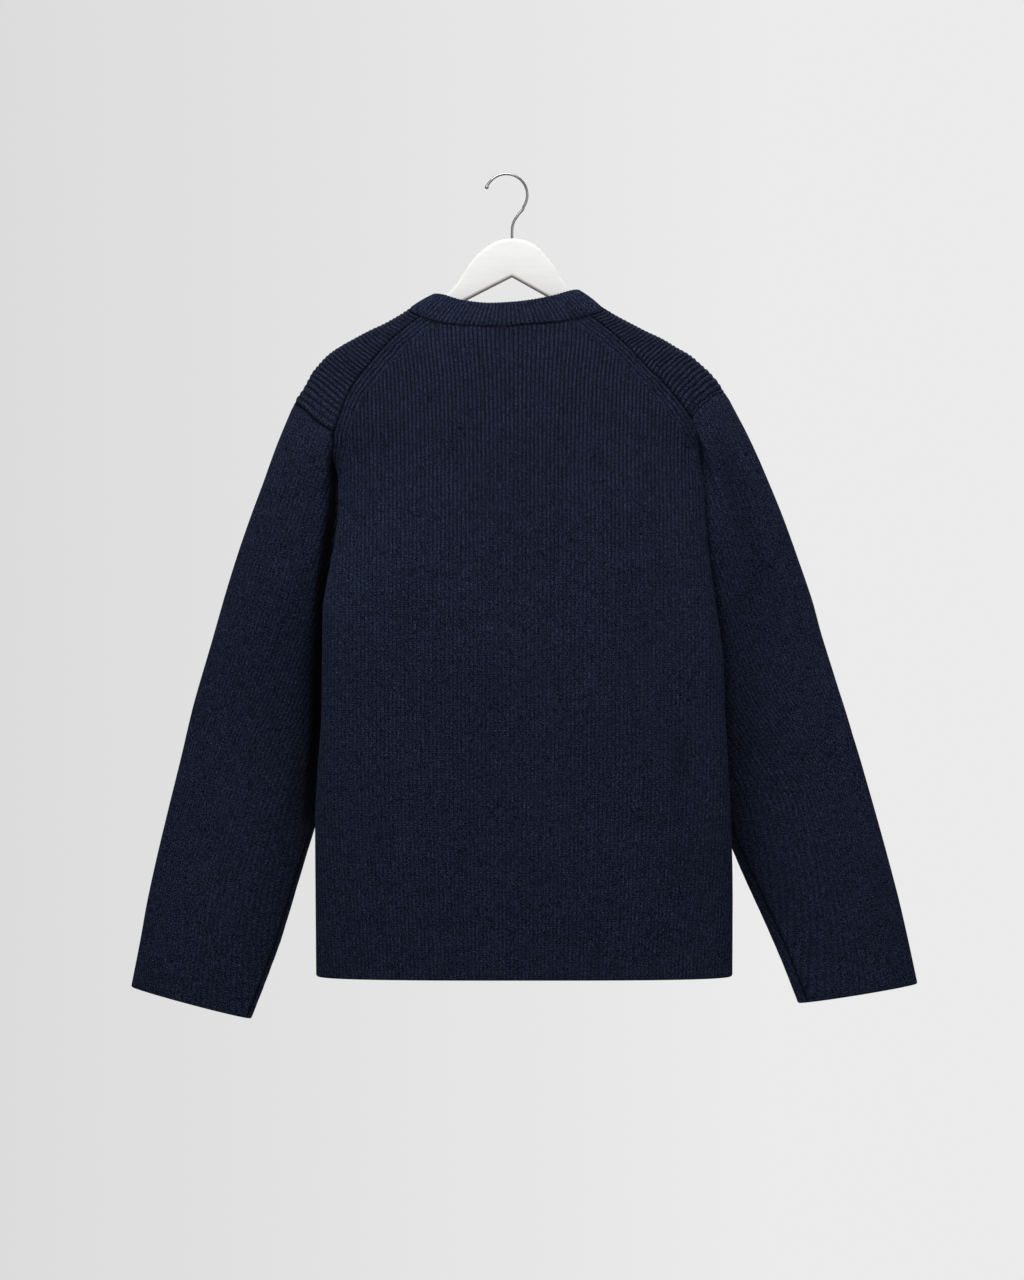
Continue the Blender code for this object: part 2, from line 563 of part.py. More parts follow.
def solid(name, points, faces, material="knit", smooth=False):
    """An object with its faces pointing out; one without a material is a cutter."""
    mesh = bpy.data.meshes.new(name)
    mesh.from_pydata([tuple(float(v) for v in p) for p in points], [], faces)
    mesh.validate()
    used = bpy.data.objects.new(name, mesh)
    collection("cardigan" if material else "cutters").objects.link(used)
    if material:
        mesh.materials.append(paint(material))
    tidy = bmesh.new()
    tidy.from_mesh(mesh)
    loose = [v for v in tidy.verts if not v.link_faces]
    bmesh.ops.delete(tidy, geom=loose, context="VERTS")
    bmesh.ops.recalc_face_normals(tidy, faces=tidy.faces)
    for face in tidy.faces:
        face.smooth = smooth
    tidy.to_mesh(mesh)
    tidy.free()
    return used


def facing(grid):
    """Directions square to a grid."""
    down = np.gradient(grid, axis=0)
    over = np.gradient(grid, axis=1)
    direction = np.cross(over, down)
    return direction / np.linalg.norm(direction, axis=-1, keepdims=True)


# ---------------------------------------------------------------- the body's pieces
def build_back(left, right):
    """The back, from hem to neck, between the side seams, the armholes and the shoulder seams."""
    neck = resample([on_sheet(x, z, "back") for x, z in NECK_BACK], COUNT["neck_back"])
    neck = settle(neck)
    sides = {}
    for hand, found in (("left", left), ("right", right)):
        above = found["shoulder"][::-1]
        sides[hand] = np.vstack((found["side"], found["back_armhole"][::-1][1:], above[1:]))
    bottom = along_hem(-SIDE_SEAM_TURN, SIDE_SEAM_TURN, len(neck) - 1, HEM_CROWD)
    charts = []
    for line in (bottom, neck, sides["left"], sides["right"]):
        charts.append(np.array([(turn_of(point) * QUARTER, 0.0, point[2]) for point in line]))
    chart = chart_patch(*charts)
    grid = np.zeros_like(chart)
    for i, j in np.ndindex(chart.shape[:2]):
        turn = chart[i, j, 0] / QUARTER
        grid[i, j] = on_ring(abs(turn), chart[i, j, 2], "left" if turn < 0 else "right")
    grid = settle(grid)
    grid[0] = bottom
    grid[-1] = neck
    grid[:, 0] = sides["left"]
    grid[:, -1] = sides["right"]
    grid = trim(grid, ("left", "right", "top"))
    sheet("back", grid, outward(grid), WALL)
    return neck


def build_front(hand, found):
    """One front: up from the hem, over the shoulder, and down to the shoulder seam on the back."""
    outer = np.vstack((found["side"], found["front_armhole"][1:]))
    top = np.vstack((found["ridge"], found["neck_front"][1:]))
    sign = -1 if hand == "left" else 1
    bottom = along_hem(sign * SIDE_SEAM_TURN, turn_of(found["edge"][0]), len(top) - 1)
    edge = settle(resample(found["edge"], len(outer) - 1, RIDGE_STEP))
    below = patch(bottom, top, outer, edge, EVEN_ROUNDS)
    over = patch(found["ridge"], found["shoulder"][::-1], found["sleeve_top"][::-1], found["neck_over"][::-1])
    wide = over.shape[1]
    rows = below.shape[0]
    blank = np.repeat(below[-1:, wide:], over.shape[0] - 1, axis=0)
    grid = np.vstack((below, np.concatenate((over[1:], blank), axis=1)))
    grid[rows - 1, wide:] = below[-1, wide:]
    grid[:, :wide] = trim(grid[:, :wide], ("left", "top"))
    grid[:rows] = trim(grid[:rows], ("right",))
    grid[:rows, wide - 1:] = trim(grid[:rows, wide - 1:], ("top",))
    grid[rows - 1:, :wide] = trim(grid[rows - 1:, :wide], ("right",))
    normal = outward(grid)
    if hand == "left":
        reach = np.linspace(0.0, 1.0, grid.shape[1])
        lift = np.clip((reach - LAP_START) / (1 - LAP_START), 0.0, 1.0) ** 2 * OVERLAP_LIFT
        grid = grid + normal * lift[None, :, None]
    missing = {(i, j) for i in range(rows - 1, grid.shape[0]) for j in range(wide - 1, grid.shape[1])}
    sheet("front_" + hand, grid, normal, WALL, holes=missing)


# ---------------------------------------------------------------- the sleeves
def sleeve_row(hand, along):
    """The seven sizes of a sleeve's ring at a distance along it."""
    return [read_off(curve, along) for curve in SLEEVE_CURVES[hand]]


def sleeve_point(hand, share, along):
    """A point of the sleeve's own form: share 0 is the underarm line, 0.25 its back, 0.5 its outer edge."""
    share, along = np.broadcast_arrays(np.asarray(share, float), np.asarray(along, float))
    outer, inner, slant, outer_y, inner_y, depth = [np.asarray(v) for v in sleeve_row(hand, along)]
    angle = share * 2 * math.pi
    for _ in range(3):
        angle = share * 2 * math.pi - SQUARENESS * np.sin(2 * angle)
    inwards = (1 + np.cos(angle)) / 2
    lateral = outer + (inner - outer) * inwards
    reach = along + slant * inwards
    y = outer_y + (inner_y - outer_y) * inwards - depth * np.sin(angle)
    x0, z0, tilt = SLEEVE_FRAME[hand]
    sign = -1 if hand == "left" else 1
    outwards = math.sin(tilt) * reach - math.cos(tilt) * lateral
    down = math.cos(tilt) * reach + math.sin(tilt) * lateral
    return np.stack([x0 + sign * outwards, y, z0 - down], axis=-1)


def sleeve_share(hand, point, sheet_sign):
    """Where a point of the armhole falls in the sleeve's own frame: its share round and distance along."""
    x0, z0, tilt = SLEEVE_FRAME[hand]
    sign = -1 if hand == "left" else 1
    outwards = (point[0] - x0) * sign
    down = z0 - point[2]
    along = math.sin(tilt) * outwards + math.cos(tilt) * down
    lateral = math.sin(tilt) * down - math.cos(tilt) * outwards
    outer, inner = [float(v) for v in sleeve_row(hand, np.array(max(along, 0.0)))[:2]]
    inwards = np.clip((lateral - outer) / (inner - outer), 0.0, 1.0)
    angle = math.acos(2 * inwards - 1)
    share = (angle + SQUARENESS * math.sin(2 * angle)) / (2 * math.pi)
    if sheet_sign < 0:
        share = 1 - share
    return share, max(along, 0.0)


def sleeve_grid(hand, found):
    """The sleeve's rows from the armhole to the cuff, and the number of columns on its back."""
    back = found["back_armhole"][::-1][:-1]
    top = found["sleeve_top"][:-1]
    front = found["front_armhole"][::-1][:-1]
    loop = np.vstack((back, top, front))
    signs = [1] * (len(back) + len(top)) + [-1] * len(front)
    placed = [sleeve_share(hand, point, sign) for point, sign in zip(loop, signs)]
    share = np.array([p[0] for p in placed])
    start = np.array([p[1] for p in placed])
    share[0] = 0.0
    share[len(back) + len(top)] = 0.5
    share = np.maximum.accumulate(share)
    share = share + np.linspace(0, 1e-4, len(share))
    end = SLEEVE_ROWS[hand][-1][0]
    half = len(back) + len(top)
    level_share = np.concatenate((
        np.linspace(0.0, 0.5, half, endpoint=False),
        np.linspace(0.5, 1.0, len(front), endpoint=False),
    ))
    rows = []
    correction = loop - sleeve_point(hand, share, start)
    for step in np.linspace(0.0, 1.0, COUNT["sleeve_rows"] + 1):
        along = start + (end - start) * step
        fade = np.clip(1 - (along - start) / SETTLE_LENGTH, 0.0, 1.0)
        fade = fade * fade * (3 - 2 * fade)
        even = share + (level_share - share) * min(1.0, step * SETTLE_PACE)
        rows.append(sleeve_point(hand, even, along) + correction * fade[:, None])
    return np.array(rows), half


def round_facing(grid, hand):
    """Outward directions of a grid that closes on itself."""
    wrapped = np.concatenate((grid[:, -1:], grid, grid[:, :1]), axis=1)
    normal = facing(wrapped)[:, 1:-1]
    return -normal if hand == "right" else normal


def head_fold(turned, half):
    """How far the sleeve's head folds over the body at each column, from 0 to 1."""
    fold = np.clip((FOLD_START - turned) / FOLD_RANGE, 0.0, 1.0)
    fold = (np.roll(fold, 1) + 2 * fold + np.roll(fold, -1)) / 4
    fold = np.maximum(fold, np.clip((FOLD_CORE - turned) / FOLD_RANGE, 0.0, 1.0))
    fold[half + 1:] = np.maximum(fold[half + 1:], FRONT_FOLD)
    return fold


def seat_head(grid, body, fold):
    """The sleeve with its head drawn back from the seam and laid on the body where it folds."""
    grid = grid.copy()
    line = np.vstack((grid[0, -1:], grid[0], grid[0, :1]))
    along = np.gradient(line, axis=0)[1:-1]
    along /= np.linalg.norm(along, axis=1, keepdims=True)
    into = grid[1] - grid[0]
    across = into - np.sum(into * along, axis=1, keepdims=True) * along
    across /= np.linalg.norm(across, axis=1, keepdims=True)
    near, more = HEAD_GAP
    grid[0] += across * (SEAM_GAP * (near + more * fold))[:, None]
    grid[0] += body * (fold * (WALL + SEAM_GAP))[:, None]
    return grid


def clear_of_body(grid, fold):
    """The sleeve moved out of the body, so that it hangs just clear of it below the head."""
    need = (SLEEVE_CLEAR * fold)[None, :] * np.ones((len(grid), 1))
    need[0] = 0.0
    for _ in range(4):
        gradient = slope(grid)
        steep = np.linalg.norm(gradient, axis=-1)
        room = (level(grid) - 1) / steep
        push = np.clip(need - room, 0.0, MAX_PUSH)
        grid = grid + gradient / steep[..., None] * push[..., None]
    return grid


def build_sleeve(hand, found):
    """A sleeve, knitted from the cuff up and sewn round the armhole."""
    grid, half = sleeve_grid(hand, found)
    body = outward(grid[0])
    turned = np.clip(np.sum(body * round_facing(grid, hand)[0], axis=1), -1, 1)
    fold = head_fold(turned, half)
    grid = clear_of_body(seat_head(grid, body, fold), fold)
    normal = round_facing(grid, hand)
    normal[0] = np.where(turned[:, None] > FOLD_PARTED, body, normal[0])
    sheet("sleeve_" + hand, grid, normal, WALL, closed=True)


# ---------------------------------------------------------------- the neckband and the button bands
def build_neckband(neck, left, right):
    """The ribbed band round the neck, whose ends meet the button bands."""
    base = np.vstack((
        left["neck_front"][::-1], left["neck_over"][::-1][1:], neck[1:],
        right["neck_over"][1:], right["neck_front"][1:],
    ))
    front = {hand: resample(BAND_FRONT[hand], COUNT["neck_front"]) for hand in BAND_FRONT}
    back = resample(BAND_BACK, COUNT["neck_back"] + 2 * COUNT["sleeve_top"])
    top = np.vstack((front["left"][::-1], back[1:], front["right"][1:]))
    share = np.linspace(0.0, 1.0, COUNT["neckband_rows"] + 1)[:, None, None]
    grid = (1 - share) * base[None] + share * top[None]
    normal = facing(grid)
    normal[0] = outward(grid[0]) + normal[0]
    normal[0] /= np.linalg.norm(normal[0], axis=-1, keepdims=True)
    grid = trim(grid, ("left", "right"))
    grid = trim(grid, ("bottom",), SEAM_GAP * 2.5)
    near = np.clip(1 - np.arange(grid.shape[1]) / COUNT["neck_front"], 0.0, 1.0) ** 2
    grid = grid + normal * (near * OVERLAP_LIFT)[None, :, None]
    sheet("neckband", grid, normal, BAND_WALL, material="rib_band")


def front_edge(x, z):
    """A point of the closed front's middle, on the body or on the neckband above it."""
    low = NECK_FRONT[-1][1]
    top = BAND_FRONT["left"][-1]
    if z <= low:
        return on_sheet(x, z, "front")
    foot = on_sheet(x, low, "front")
    share = (z - low) / (top[2] - low)
    return np.array([x, foot[1] + (top[1] - foot[1]) * share, z])


def build_button_bands():
    """Two knitted bands, the wearer's left over the right, with a row of slits in the upper one."""
    half = BUTTON_BAND / 2 - SEAM_GAP / 2
    top = BAND_FRONT["left"][-1][2]
    steps = [HEM_Z, top]
    for z in button_heights():
        steps += [z - SLIT_LENGTH / 2, z + SLIT_LENGTH / 2]
    steps = sorted(steps)
    for hand, across, lift in (
        ("left", (-half, -SLIT_WIDTH / 2, SLIT_WIDTH / 2, half), OVERLAP_LIFT),
        ("right", (-half, 0.0, half), 0.0),
    ):
        grid = np.array([[front_edge(x, z) for x in across] for z in steps])
        grid[:, :, 1] += lift
        slits = set()
        if hand == "left":
            slits = {(i, 1) for i in range(1, len(steps) - 1, 2)}
        direction = -facing(grid)
        sheet("button_band_" + hand, grid, direction, WALL, holes=slits, material="rib_band")


def button_heights():
    """The height of each button, from the top one down."""
    return [float(z) for z in np.linspace(TOP_BUTTON_Z, LOW_BUTTON_Z, BUTTON_COUNT)]


def button_place(z):
    """Where a button lies on the upper band: its middle, and the directions across, up and out."""
    above = front_edge(0.0, z + BUTTON_HOLE_REACH)
    below = front_edge(0.0, z - BUTTON_HOLE_REACH)
    across = np.array([1.0, 0.0, 0.0])
    up = (above - below) / np.linalg.norm(above - below)
    out = np.cross(up, across)
    out = out if out[1] > 0 else -out
    lift = np.array([0.0, OVERLAP_LIFT, 0.0])
    return front_edge(0.0, z) + lift + out * (WALL / 2 + SEAM_GAP), across, up, out


def build_button(number, z):
    """A round button with a raised rim and four holes, lying on the upper band over its slit."""
    middle, across, up, out = button_place(z)
    path = [middle + out * (share * BUTTON_HEIGHT) for _, share in BUTTON_PROFILE]
    radii = [share * BUTTON_RADIUS for share, _ in BUTTON_PROFILE]
    button = bar("button_%d" % number, path, radii, BUTTON_TURNS, "button")
    reach = BUTTON_HOLE_REACH / math.sqrt(2)
    for corner, (right, high) in enumerate(((1, 1), (1, -1), (-1, 1), (-1, -1)), 1):
        spot = middle + across * (right * reach) + up * (high * reach)
        ends = (spot - out * BUTTON_HEIGHT, spot + out * (2 * BUTTON_HEIGHT))
        name = "button_%d_hole_cutter_%d" % (number, corner)
        cutter = bar(name, ends, [BUTTON_HOLE_RADIUS] * 2, BUTTON_HOLE_TURNS, None)
        cut(button, cutter, "thread hole %d" % corner)


# ---------------------------------------------------------------- the hanger
def build_hanger():
    """A flat wooden hanger with softened edges and a hole for the hook's stem."""
    left_side = list(HANGER_TOP["left"]) + [HANGER_END["left"]] + list(HANGER_BOTTOM["left"])
    right_side = list(HANGER_TOP["right"][1:]) + [HANGER_END["right"]] + list(HANGER_BOTTOM["right"])
    outline = left_side + [HANGER_APEX] + right_side[::-1]
    points = np.array([(x, 0.0, z) for x, z in outline])
    before = np.roll(points, 1, axis=0)
    after = np.roll(points, -1, axis=0)
    tangent = (after - before) / np.linalg.norm(after - before, axis=1, keepdims=True)
    inwards = np.stack((-tangent[:, 2], np.zeros(len(tangent)), tangent[:, 0]), axis=1)
    middle = points.mean(axis=0) + np.array([0.0, 0.0, -0.02])
    if np.sum(inwards[0] * (middle - points[0])) < 0:
        inwards = -inwards
    loops = []
    for y, inset in ((-HANGER_THICK / 2, HANGER_SOFT), (-HANGER_THICK / 2 + HANGER_SOFT, 0.0),
                     (HANGER_THICK / 2 - HANGER_SOFT, 0.0), (HANGER_THICK / 2, HANGER_SOFT)):
        loops.append(points + inwards * inset + np.array([0.0, y, 0.0]))
    count = len(points)
    faces = [tuple(range(count))[::-1], tuple(range(3 * count, 4 * count))]
    for k in range(3):
        for i in range(count):
            j = (i + 1) % count
            faces.append((k * count + i, k * count + j, (k + 1) * count + j, (k + 1) * count + i))
    wood = solid("hanger", np.vstack(loops), faces, "hanger_wood")
    foot_z = HANGER_TOP["left"][0][1] - STEM_DEPTH - STEM_CLEAR
    hole = bar("stem_hole_cutter", ((0.0, 0.0, foot_z), (0.0, 0.0, STEM_HOLE_TOP_Z)),
               [WIRE_RADIUS + SEAM_GAP] * 2, WIRE_TURNS * 2, None)
    cut(wood, hole, "stem hole")


def bar(name, path, radii, turns, material):
    """A round bar of changing radius along a path that lies in a plane of even x or y."""
    path = np.array(path, float)
    tangent = np.gradient(path, axis=0)
    if np.ptp(path[:, 1]) < 1e-9:
        flat = np.stack((tangent[:, 2], np.zeros(len(path)), -tangent[:, 0]), axis=1)
    else:
        flat = np.tile((1.0, 0.0, 0.0), (len(path), 1))
        tangent = np.tile(path[-1] - path[0], (len(path), 1))
    tangent /= np.linalg.norm(tangent, axis=1, keepdims=True)
    flat /= np.linalg.norm(flat, axis=1, keepdims=True)
    third = np.cross(tangent, flat)
    points = []
    for spot, one, other, radius in zip(path, flat, third, radii):
        for k in range(turns):
            angle = 2 * math.pi * k / turns
            points.append(spot + radius * (math.cos(angle) * one + math.sin(angle) * other))
    faces = [tuple(range(turns)), tuple(range((len(path) - 1) * turns, len(path) * turns))[::-1]]
    for i in range(len(path) - 1):
        for k in range(turns):
            n = (k + 1) % turns
            faces.append((i * turns + k, i * turns + n, (i + 1) * turns + n, (i + 1) * turns + k))
    return solid(name, points, faces, material, bool(material))


def build_hook():
    """A bent steel wire with a small ball at its tip, standing in the wood."""
    path = []
    for degrees in np.linspace(HOOK_START, HOOK_END, 30):
        angle = math.radians(degrees)
        path.append((HOOK_CENTRE[0] + HOOK_RADIUS * math.cos(angle), 0.0,
                     HOOK_CENTRE[2] + HOOK_RADIUS * math.sin(angle)))
    stem = resample([(x, 0.0, z) for x, z in HOOK_BEND], 8)
    path += [tuple(p) for p in stem[1:]]
    path.append((0.0, 0.0, HANGER_TOP["left"][0][1] - STEM_DEPTH))
    start = np.array(path[0])
    ahead = np.array(path[1]) - start
    ahead /= np.linalg.norm(ahead)
    line = []
    radii = []
    for share in TIP_SHARES:
        line.append(start + ahead * TIP_RADIUS * (share - 1.0))
        radii.append(max(TIP_RADIUS * math.sqrt(max(0.0, 1 - (share - 1) ** 2)), WIRE_RADIUS * 0.2))
    line += [np.array(p) for p in path[1:]]
    radii += [WIRE_RADIUS] * (len(path) - 1)
    bar("hanger_hook", line, radii, WIRE_TURNS, "hook_steel")


def main():
    """The whole cardigan and its hanger, shifted so that the origin is in the hook."""
    for old in list(bpy.data.objects):
        bpy.data.objects.remove(old, do_unlink=True)
    left = seams("left")
    right = seams("right")
    neck = build_back(left, right)
    for hand, found in (("left", left), ("right", right)):
        build_front(hand, found)
        build_sleeve(hand, found)
    build_neckband(neck, left, right)
    build_button_bands()
    for number, z in enumerate(button_heights(), 1):
        build_button(number, z)
    build_hanger()
    build_hook()
    for made in bpy.data.objects:
        for vertex in made.data.vertices:
            vertex.co.x -= HOOK_SEAT[0]
            vertex.co.z -= HOOK_SEAT[2]


main()
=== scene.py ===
"""The looks of a ribbed wool cardigan on its hanger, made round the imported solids.

Metres, +Z up, in the solids' frame: -Y is the cardigan's back, which faces the camera, +Y its buttoned front
and -X the wearer's left. The garment's own tables are drawn about the hook's stem, as in the solids' source,
and GARMENT_SHIFT takes them to the solids' frame. Each knitted piece is a thin closed shell whose ribs are
real shapes: its points are laid out along the wales, the columns of stitches, on a flat chart of the piece,
joined into triangles inside the piece's outline, and then placed on the garment's form.
"""

import math

import bmesh
import bpy
import numpy as np
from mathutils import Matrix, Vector
from mathutils.geometry import delaunay_2d_cdt
from mathutils.kdtree import KDTree


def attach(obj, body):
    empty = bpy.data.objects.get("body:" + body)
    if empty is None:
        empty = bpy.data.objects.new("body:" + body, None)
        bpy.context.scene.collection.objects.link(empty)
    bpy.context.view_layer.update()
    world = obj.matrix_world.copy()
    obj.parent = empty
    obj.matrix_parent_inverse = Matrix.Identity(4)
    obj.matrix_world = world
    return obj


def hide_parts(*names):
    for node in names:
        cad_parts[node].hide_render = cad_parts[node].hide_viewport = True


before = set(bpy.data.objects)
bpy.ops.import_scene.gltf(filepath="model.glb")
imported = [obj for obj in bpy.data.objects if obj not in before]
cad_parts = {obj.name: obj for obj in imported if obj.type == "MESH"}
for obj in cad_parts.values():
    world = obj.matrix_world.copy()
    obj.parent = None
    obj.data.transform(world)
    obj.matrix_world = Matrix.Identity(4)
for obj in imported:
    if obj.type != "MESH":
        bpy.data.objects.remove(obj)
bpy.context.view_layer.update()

# -------- sizes, in metres
WALL = 0.0030  # thickness of the knitted cloth, over its ribs
BAND_WALL = 0.0036
SEAM_GAP = 0.0003
BAND_CAUGHT = 0.0002  # how far the button bands' edges are caught into their seams
HEM_Z = -0.8135
BUTTON_BAND = 0.0320
OVERLAP_LIFT = 0.0037  # how far the left front's edge, band and neckband end stand over the right ones
BUTTON_RADIUS = 0.0100
BUTTON_HEIGHT = 0.0034
BUTTON_COUNT = 7
TOP_BUTTON_Z = -0.2080
LOW_BUTTON_Z = -0.7940
SLIT_LENGTH = 0.0200
SLIT_WIDTH = 0.0022
HANGER_THICK = 0.0120
HANGER_ROUND = 0.0036  # radius of the hanger's softened edges
WIRE_RADIUS = 0.0014
TIP_BALL = 0.0022
HOOK_RADIUS = 0.0214
HOOK_CENTRE = (-0.0058, 0.0, -0.0185)
GARMENT_SHIFT = np.array((-HOOK_CENTRE[0], 0.0, -(HOOK_CENTRE[2] + HOOK_RADIUS - WIRE_RADIUS)))

SIGN = {"left": -1, "right": 1}
TENTHS = 10000.0  # tenths of a millimetre in a metre
MILLIMETRE = 0.0010


def metres(table):
    """A table in tenths of a millimetre, or a dict of such tables, in metres."""
    if isinstance(table, dict):
        return {key: metres(rows) for key, rows in table.items()}
    return np.array(table) / TENTHS


# -------- the garment's form, as in the solids
# Tenths of a millimetre: z, left and right ends, their depth, reach back and front; then the powers of the
# superellipse at the back and the front.
RINGS = np.array((
    (-1100, -600, 520, 0, -150, 160, 2.0, 2.0),
    (-1335, -1008, 905, 0, -225, 240, 2.0, 2.0),
    (-1430, -1158, 1062, 0, -255, 275, 2.0, 2.0),
    (-1510, -1300, 1215, 0, -275, 300, 2.0, 2.0),
    (-1590, -1470, 1370, 0, -295, 325, 2.0, 2.0),
    (-1670, -1620, 1540, 0, -320, 350, 2.0, 2.0),
    (-1755, -1770, 1680, 0, -345, 375, 2.0, 2.0),
    (-1835, -1880, 1820, 0, -365, 395, 2.0, 2.0),
    (-1920, -1960, 1915, 0, -385, 415, 2.0, 2.0),
    (-2000, -2025, 2005, 0, -405, 435, 2.0, 2.0),
    (-2160, -2110, 2128, -10, -440, 470, 2.1, 2.0),
    (-2320, -2200, 2195, -20, -470, 500, 2.2, 2.0),
    (-2480, -2200, 2150, -40, -500, 525, 2.3, 2.0),
    (-2640, -2080, 2030, -70, -525, 550, 2.4, 2.1),
    (-2790, -1900, 1940, -100, -545, 575, 2.5, 2.1),
    (-2945, -1795, 1915, -130, -560, 595, 2.6, 2.1),
    (-3095, -1750, 1925, -150, -575, 615, 2.7, 2.1),
    (-3370, -1750, 1945, -180, -600, 640, 2.8, 2.2),
    (-3757, -1788, 1970, -200, -625, 665, 2.9, 2.2),
    (-4154, -1863, 2020, -210, -645, 680, 3.0, 2.2),
    (-4460, -1905, 2062, -220, -655, 690, 3.0, 2.2),
    (-4890, -1908, 2122, -220, -665, 695, 3.0, 2.2),
    (-5470, -1915, 2145, -210, -660, 690, 3.0, 2.3),
    (-6050, -1955, 2178, -190, -650, 680, 3.1, 2.4),
    (-6580, -1982, 2208, -160, -640, 665, 3.1, 2.6),
    (-7380, -1980, 2226, -100, -620, 640, 3.1, 2.8),
    (-8200, -1976, 2226, -50, -600, 615, 3.1, 3.0),
)) / ((TENTHS,) * 6 + (1.0,) * 2)
# Seams: x and z on the back, or turn and z, where turn 0 is the centre of the back, 1 the ring's end and 2
# the centre of the front.
NECK_BACK = metres((
    (-935, -1440), (-785, -1503), (-570, -1538), (-300, -1553), (-70, -1556), (145, -1535), (430, -1515),
    (620, -1480), (790, -1432),
))
SHOULDER_SEAM = metres({
    "left": (
        (-935, -1440), (-1190, -1650), (-1316, -1780), (-1450, -1940), (-1580, -2110), (-1680, -2290),
        (-1745, -2480), (-1795, -2630),
    ),
    "right": (
        (790, -1432), (990, -1590), (1180, -1765), (1367, -1967), (1520, -2120), (1650, -2270),
        (1745, -2390), (1815, -2490),
    ),
})
SLEEVE_TOP = metres({
    "left": ((-1795, -2630), (-1880, -2580), (-1990, -2500), (-2110, -2390)),
    "right": ((1815, -2490), (1877, -2400), (1979, -2310), (2060, -2240)),
})
ARMHOLE_BACK = {
    "left": ((0.98, -0.3000), (1.01, -0.3370), (1.04, -0.3757), (1.09, -0.4154), (1.19, -0.4500)),
    "right": ((0.98, -0.2900), (1.01, -0.3300), (1.04, -0.3757), (1.09, -0.4154), (1.21, -0.4500)),
}
UNDERARM = {"left": (1.34, -0.4720), "right": (1.39, -0.4720)}
ARMHOLE_FRONT = {
    "left": ((1.38, -0.4460), (1.385, -0.4050), (1.35, -0.3500), (1.28, -0.3050), (1.18, -0.2680)),
    "right": ((1.43, -0.4460), (1.43, -0.4050), (1.38, -0.3500), (1.29, -0.3000), (1.18, -0.2600)),
}
SHOULDER_POINT_Z = {"left": -0.2300, "right": -0.2200}
SIDE_SEAM = ((1.04, HEM_Z), (1.04, -0.7400), (1.04, -0.6600), (1.04, -0.5800), (1.12, -0.5100))
NECK_RIDGE_Z = {"left": -0.1345, "right": -0.1320}
RIDGE_POINTS = 160
NECK_TURN = 0.92  # where a front's neck edge begins to run over the shoulder, and how high above the back's
NECK_TURN_RISE = 0.0060
NECK_FRONT = metres(((940, -1570), (800, -1830), (600, -2060), (380, -2190), (160, -2235)))
FRONT_EDGE_Z = (HEM_Z, -0.7, -0.5, -0.35, NECK_FRONT[-1][1])

# A sleeve's frame: x and z of its shoulder point, and its tilt. Its rows: distance along, outer and inner
# edge, slant from the outer to the inner one, depth of both edges, and half the thickness between them.
SLEEVE_FRAME = {
    "left": (-0.2234, -0.2318, math.radians(16.0)),
    "right": (0.2234, -0.2318, math.radians(17.5)),
}
SLEEVE_ROWS = metres({
    "left": (
        (0, 15, 1400, 0, -20, 80, 270),
        (440, -30, 1440, 0, -10, 110, 290),
        (830, -55, 1480, 0, 10, 160, 290),
        (1260, -90, 1460, 0, 40, 250, 280),
        (1690, -115, 1420, 0, 80, 360, 270),
        (2110, -125, 1385, 0, 110, 470, 260),
        (2540, -125, 1390, 0, 130, 570, 250),
        (3180, -130, 1395, 0, 140, 620, 245),
        (3800, -102, 1375, 0, 150, 580, 240),
        (4430, -80, 1365, 0, 150, 490, 230),
        (5270, -33, 1360, 0, 150, 400, 210),
        (5680, 8, 1335, 0, 150, 350, 190),
        (6187, 52, 1290, 0, 150, 320, 165),
    ),
    "right": (
        (0, 15, 1400, 0, -20, 80, 270),
        (450, -67, 1440, 0, -10, 110, 290),
        (850, -112, 1480, 0, 20, 170, 290),
        (1290, -152, 1460, 0, 60, 270, 280),
        (1720, -175, 1410, 0, 120, 400, 270),
        (2150, -190, 1370, 0, 170, 510, 260),
        (2570, -176, 1380, 0, 190, 600, 250),
        (3220, -177, 1380, 0, 190, 640, 245),
        (3860, -170, 1350, 0, 180, 600, 240),
        (4490, -152, 1305, 0, 170, 500, 230),
        (5330, -115, 1215, -40, 160, 400, 210),
        (5750, -81, 1180, -90, 150, 350, 190),
        (6228, -36, 1154, -150, 150, 320, 165),
    ),
})
SEAM_TURN = {  # distance along, and how far round to the back the seam under the arm has come there
    "left": ((0.20, 0.0), (0.30, 0.015), (0.40, 0.050), (0.48, 0.062), (0.62, 0.066)),
    "right": ((0.20, 0.0), (0.30, 0.022), (0.40, 0.076), (0.48, 0.092), (0.62, 0.100)),
}
SQUASH = 0.10  # how much flatter than an ellipse a sleeve's section is
SQUASH_STEPS = 3
SLEEVE_CLEAR = 0.0055  # the room between a sleeve and the body, below its seam
CLEAR_LENGTH = 0.02  # the distance in which a sleeve comes to that room
SETTLE_LENGTH = 0.075  # the distance in which a sleeve leaves the armhole's line for its own form

BAND_FRONT = metres({  # the neckband's top edge: x, y and z
    "left": (
        (-780, 0, -1203), (-765, 140, -1350), (-690, 270, -1600), (-560, 350, -1810), (-360, 395, -1930),
        (-160, 410, -1970),
    ),
    "right": (
        (665, 0, -1160), (670, 140, -1320), (610, 270, -1590), (510, 350, -1810), (340, 395, -1930),
        (160, 410, -1970),
    ),
})
BAND_BACK = metres((
    (-780, 0, -1203), (-710, -105, -1213), (-500, -175, -1276), (-224, -215, -1308), (0, -225, -1298),
    (214, -218, -1272), (430, -175, -1225), (600, -105, -1172), (665, 0, -1160),
))

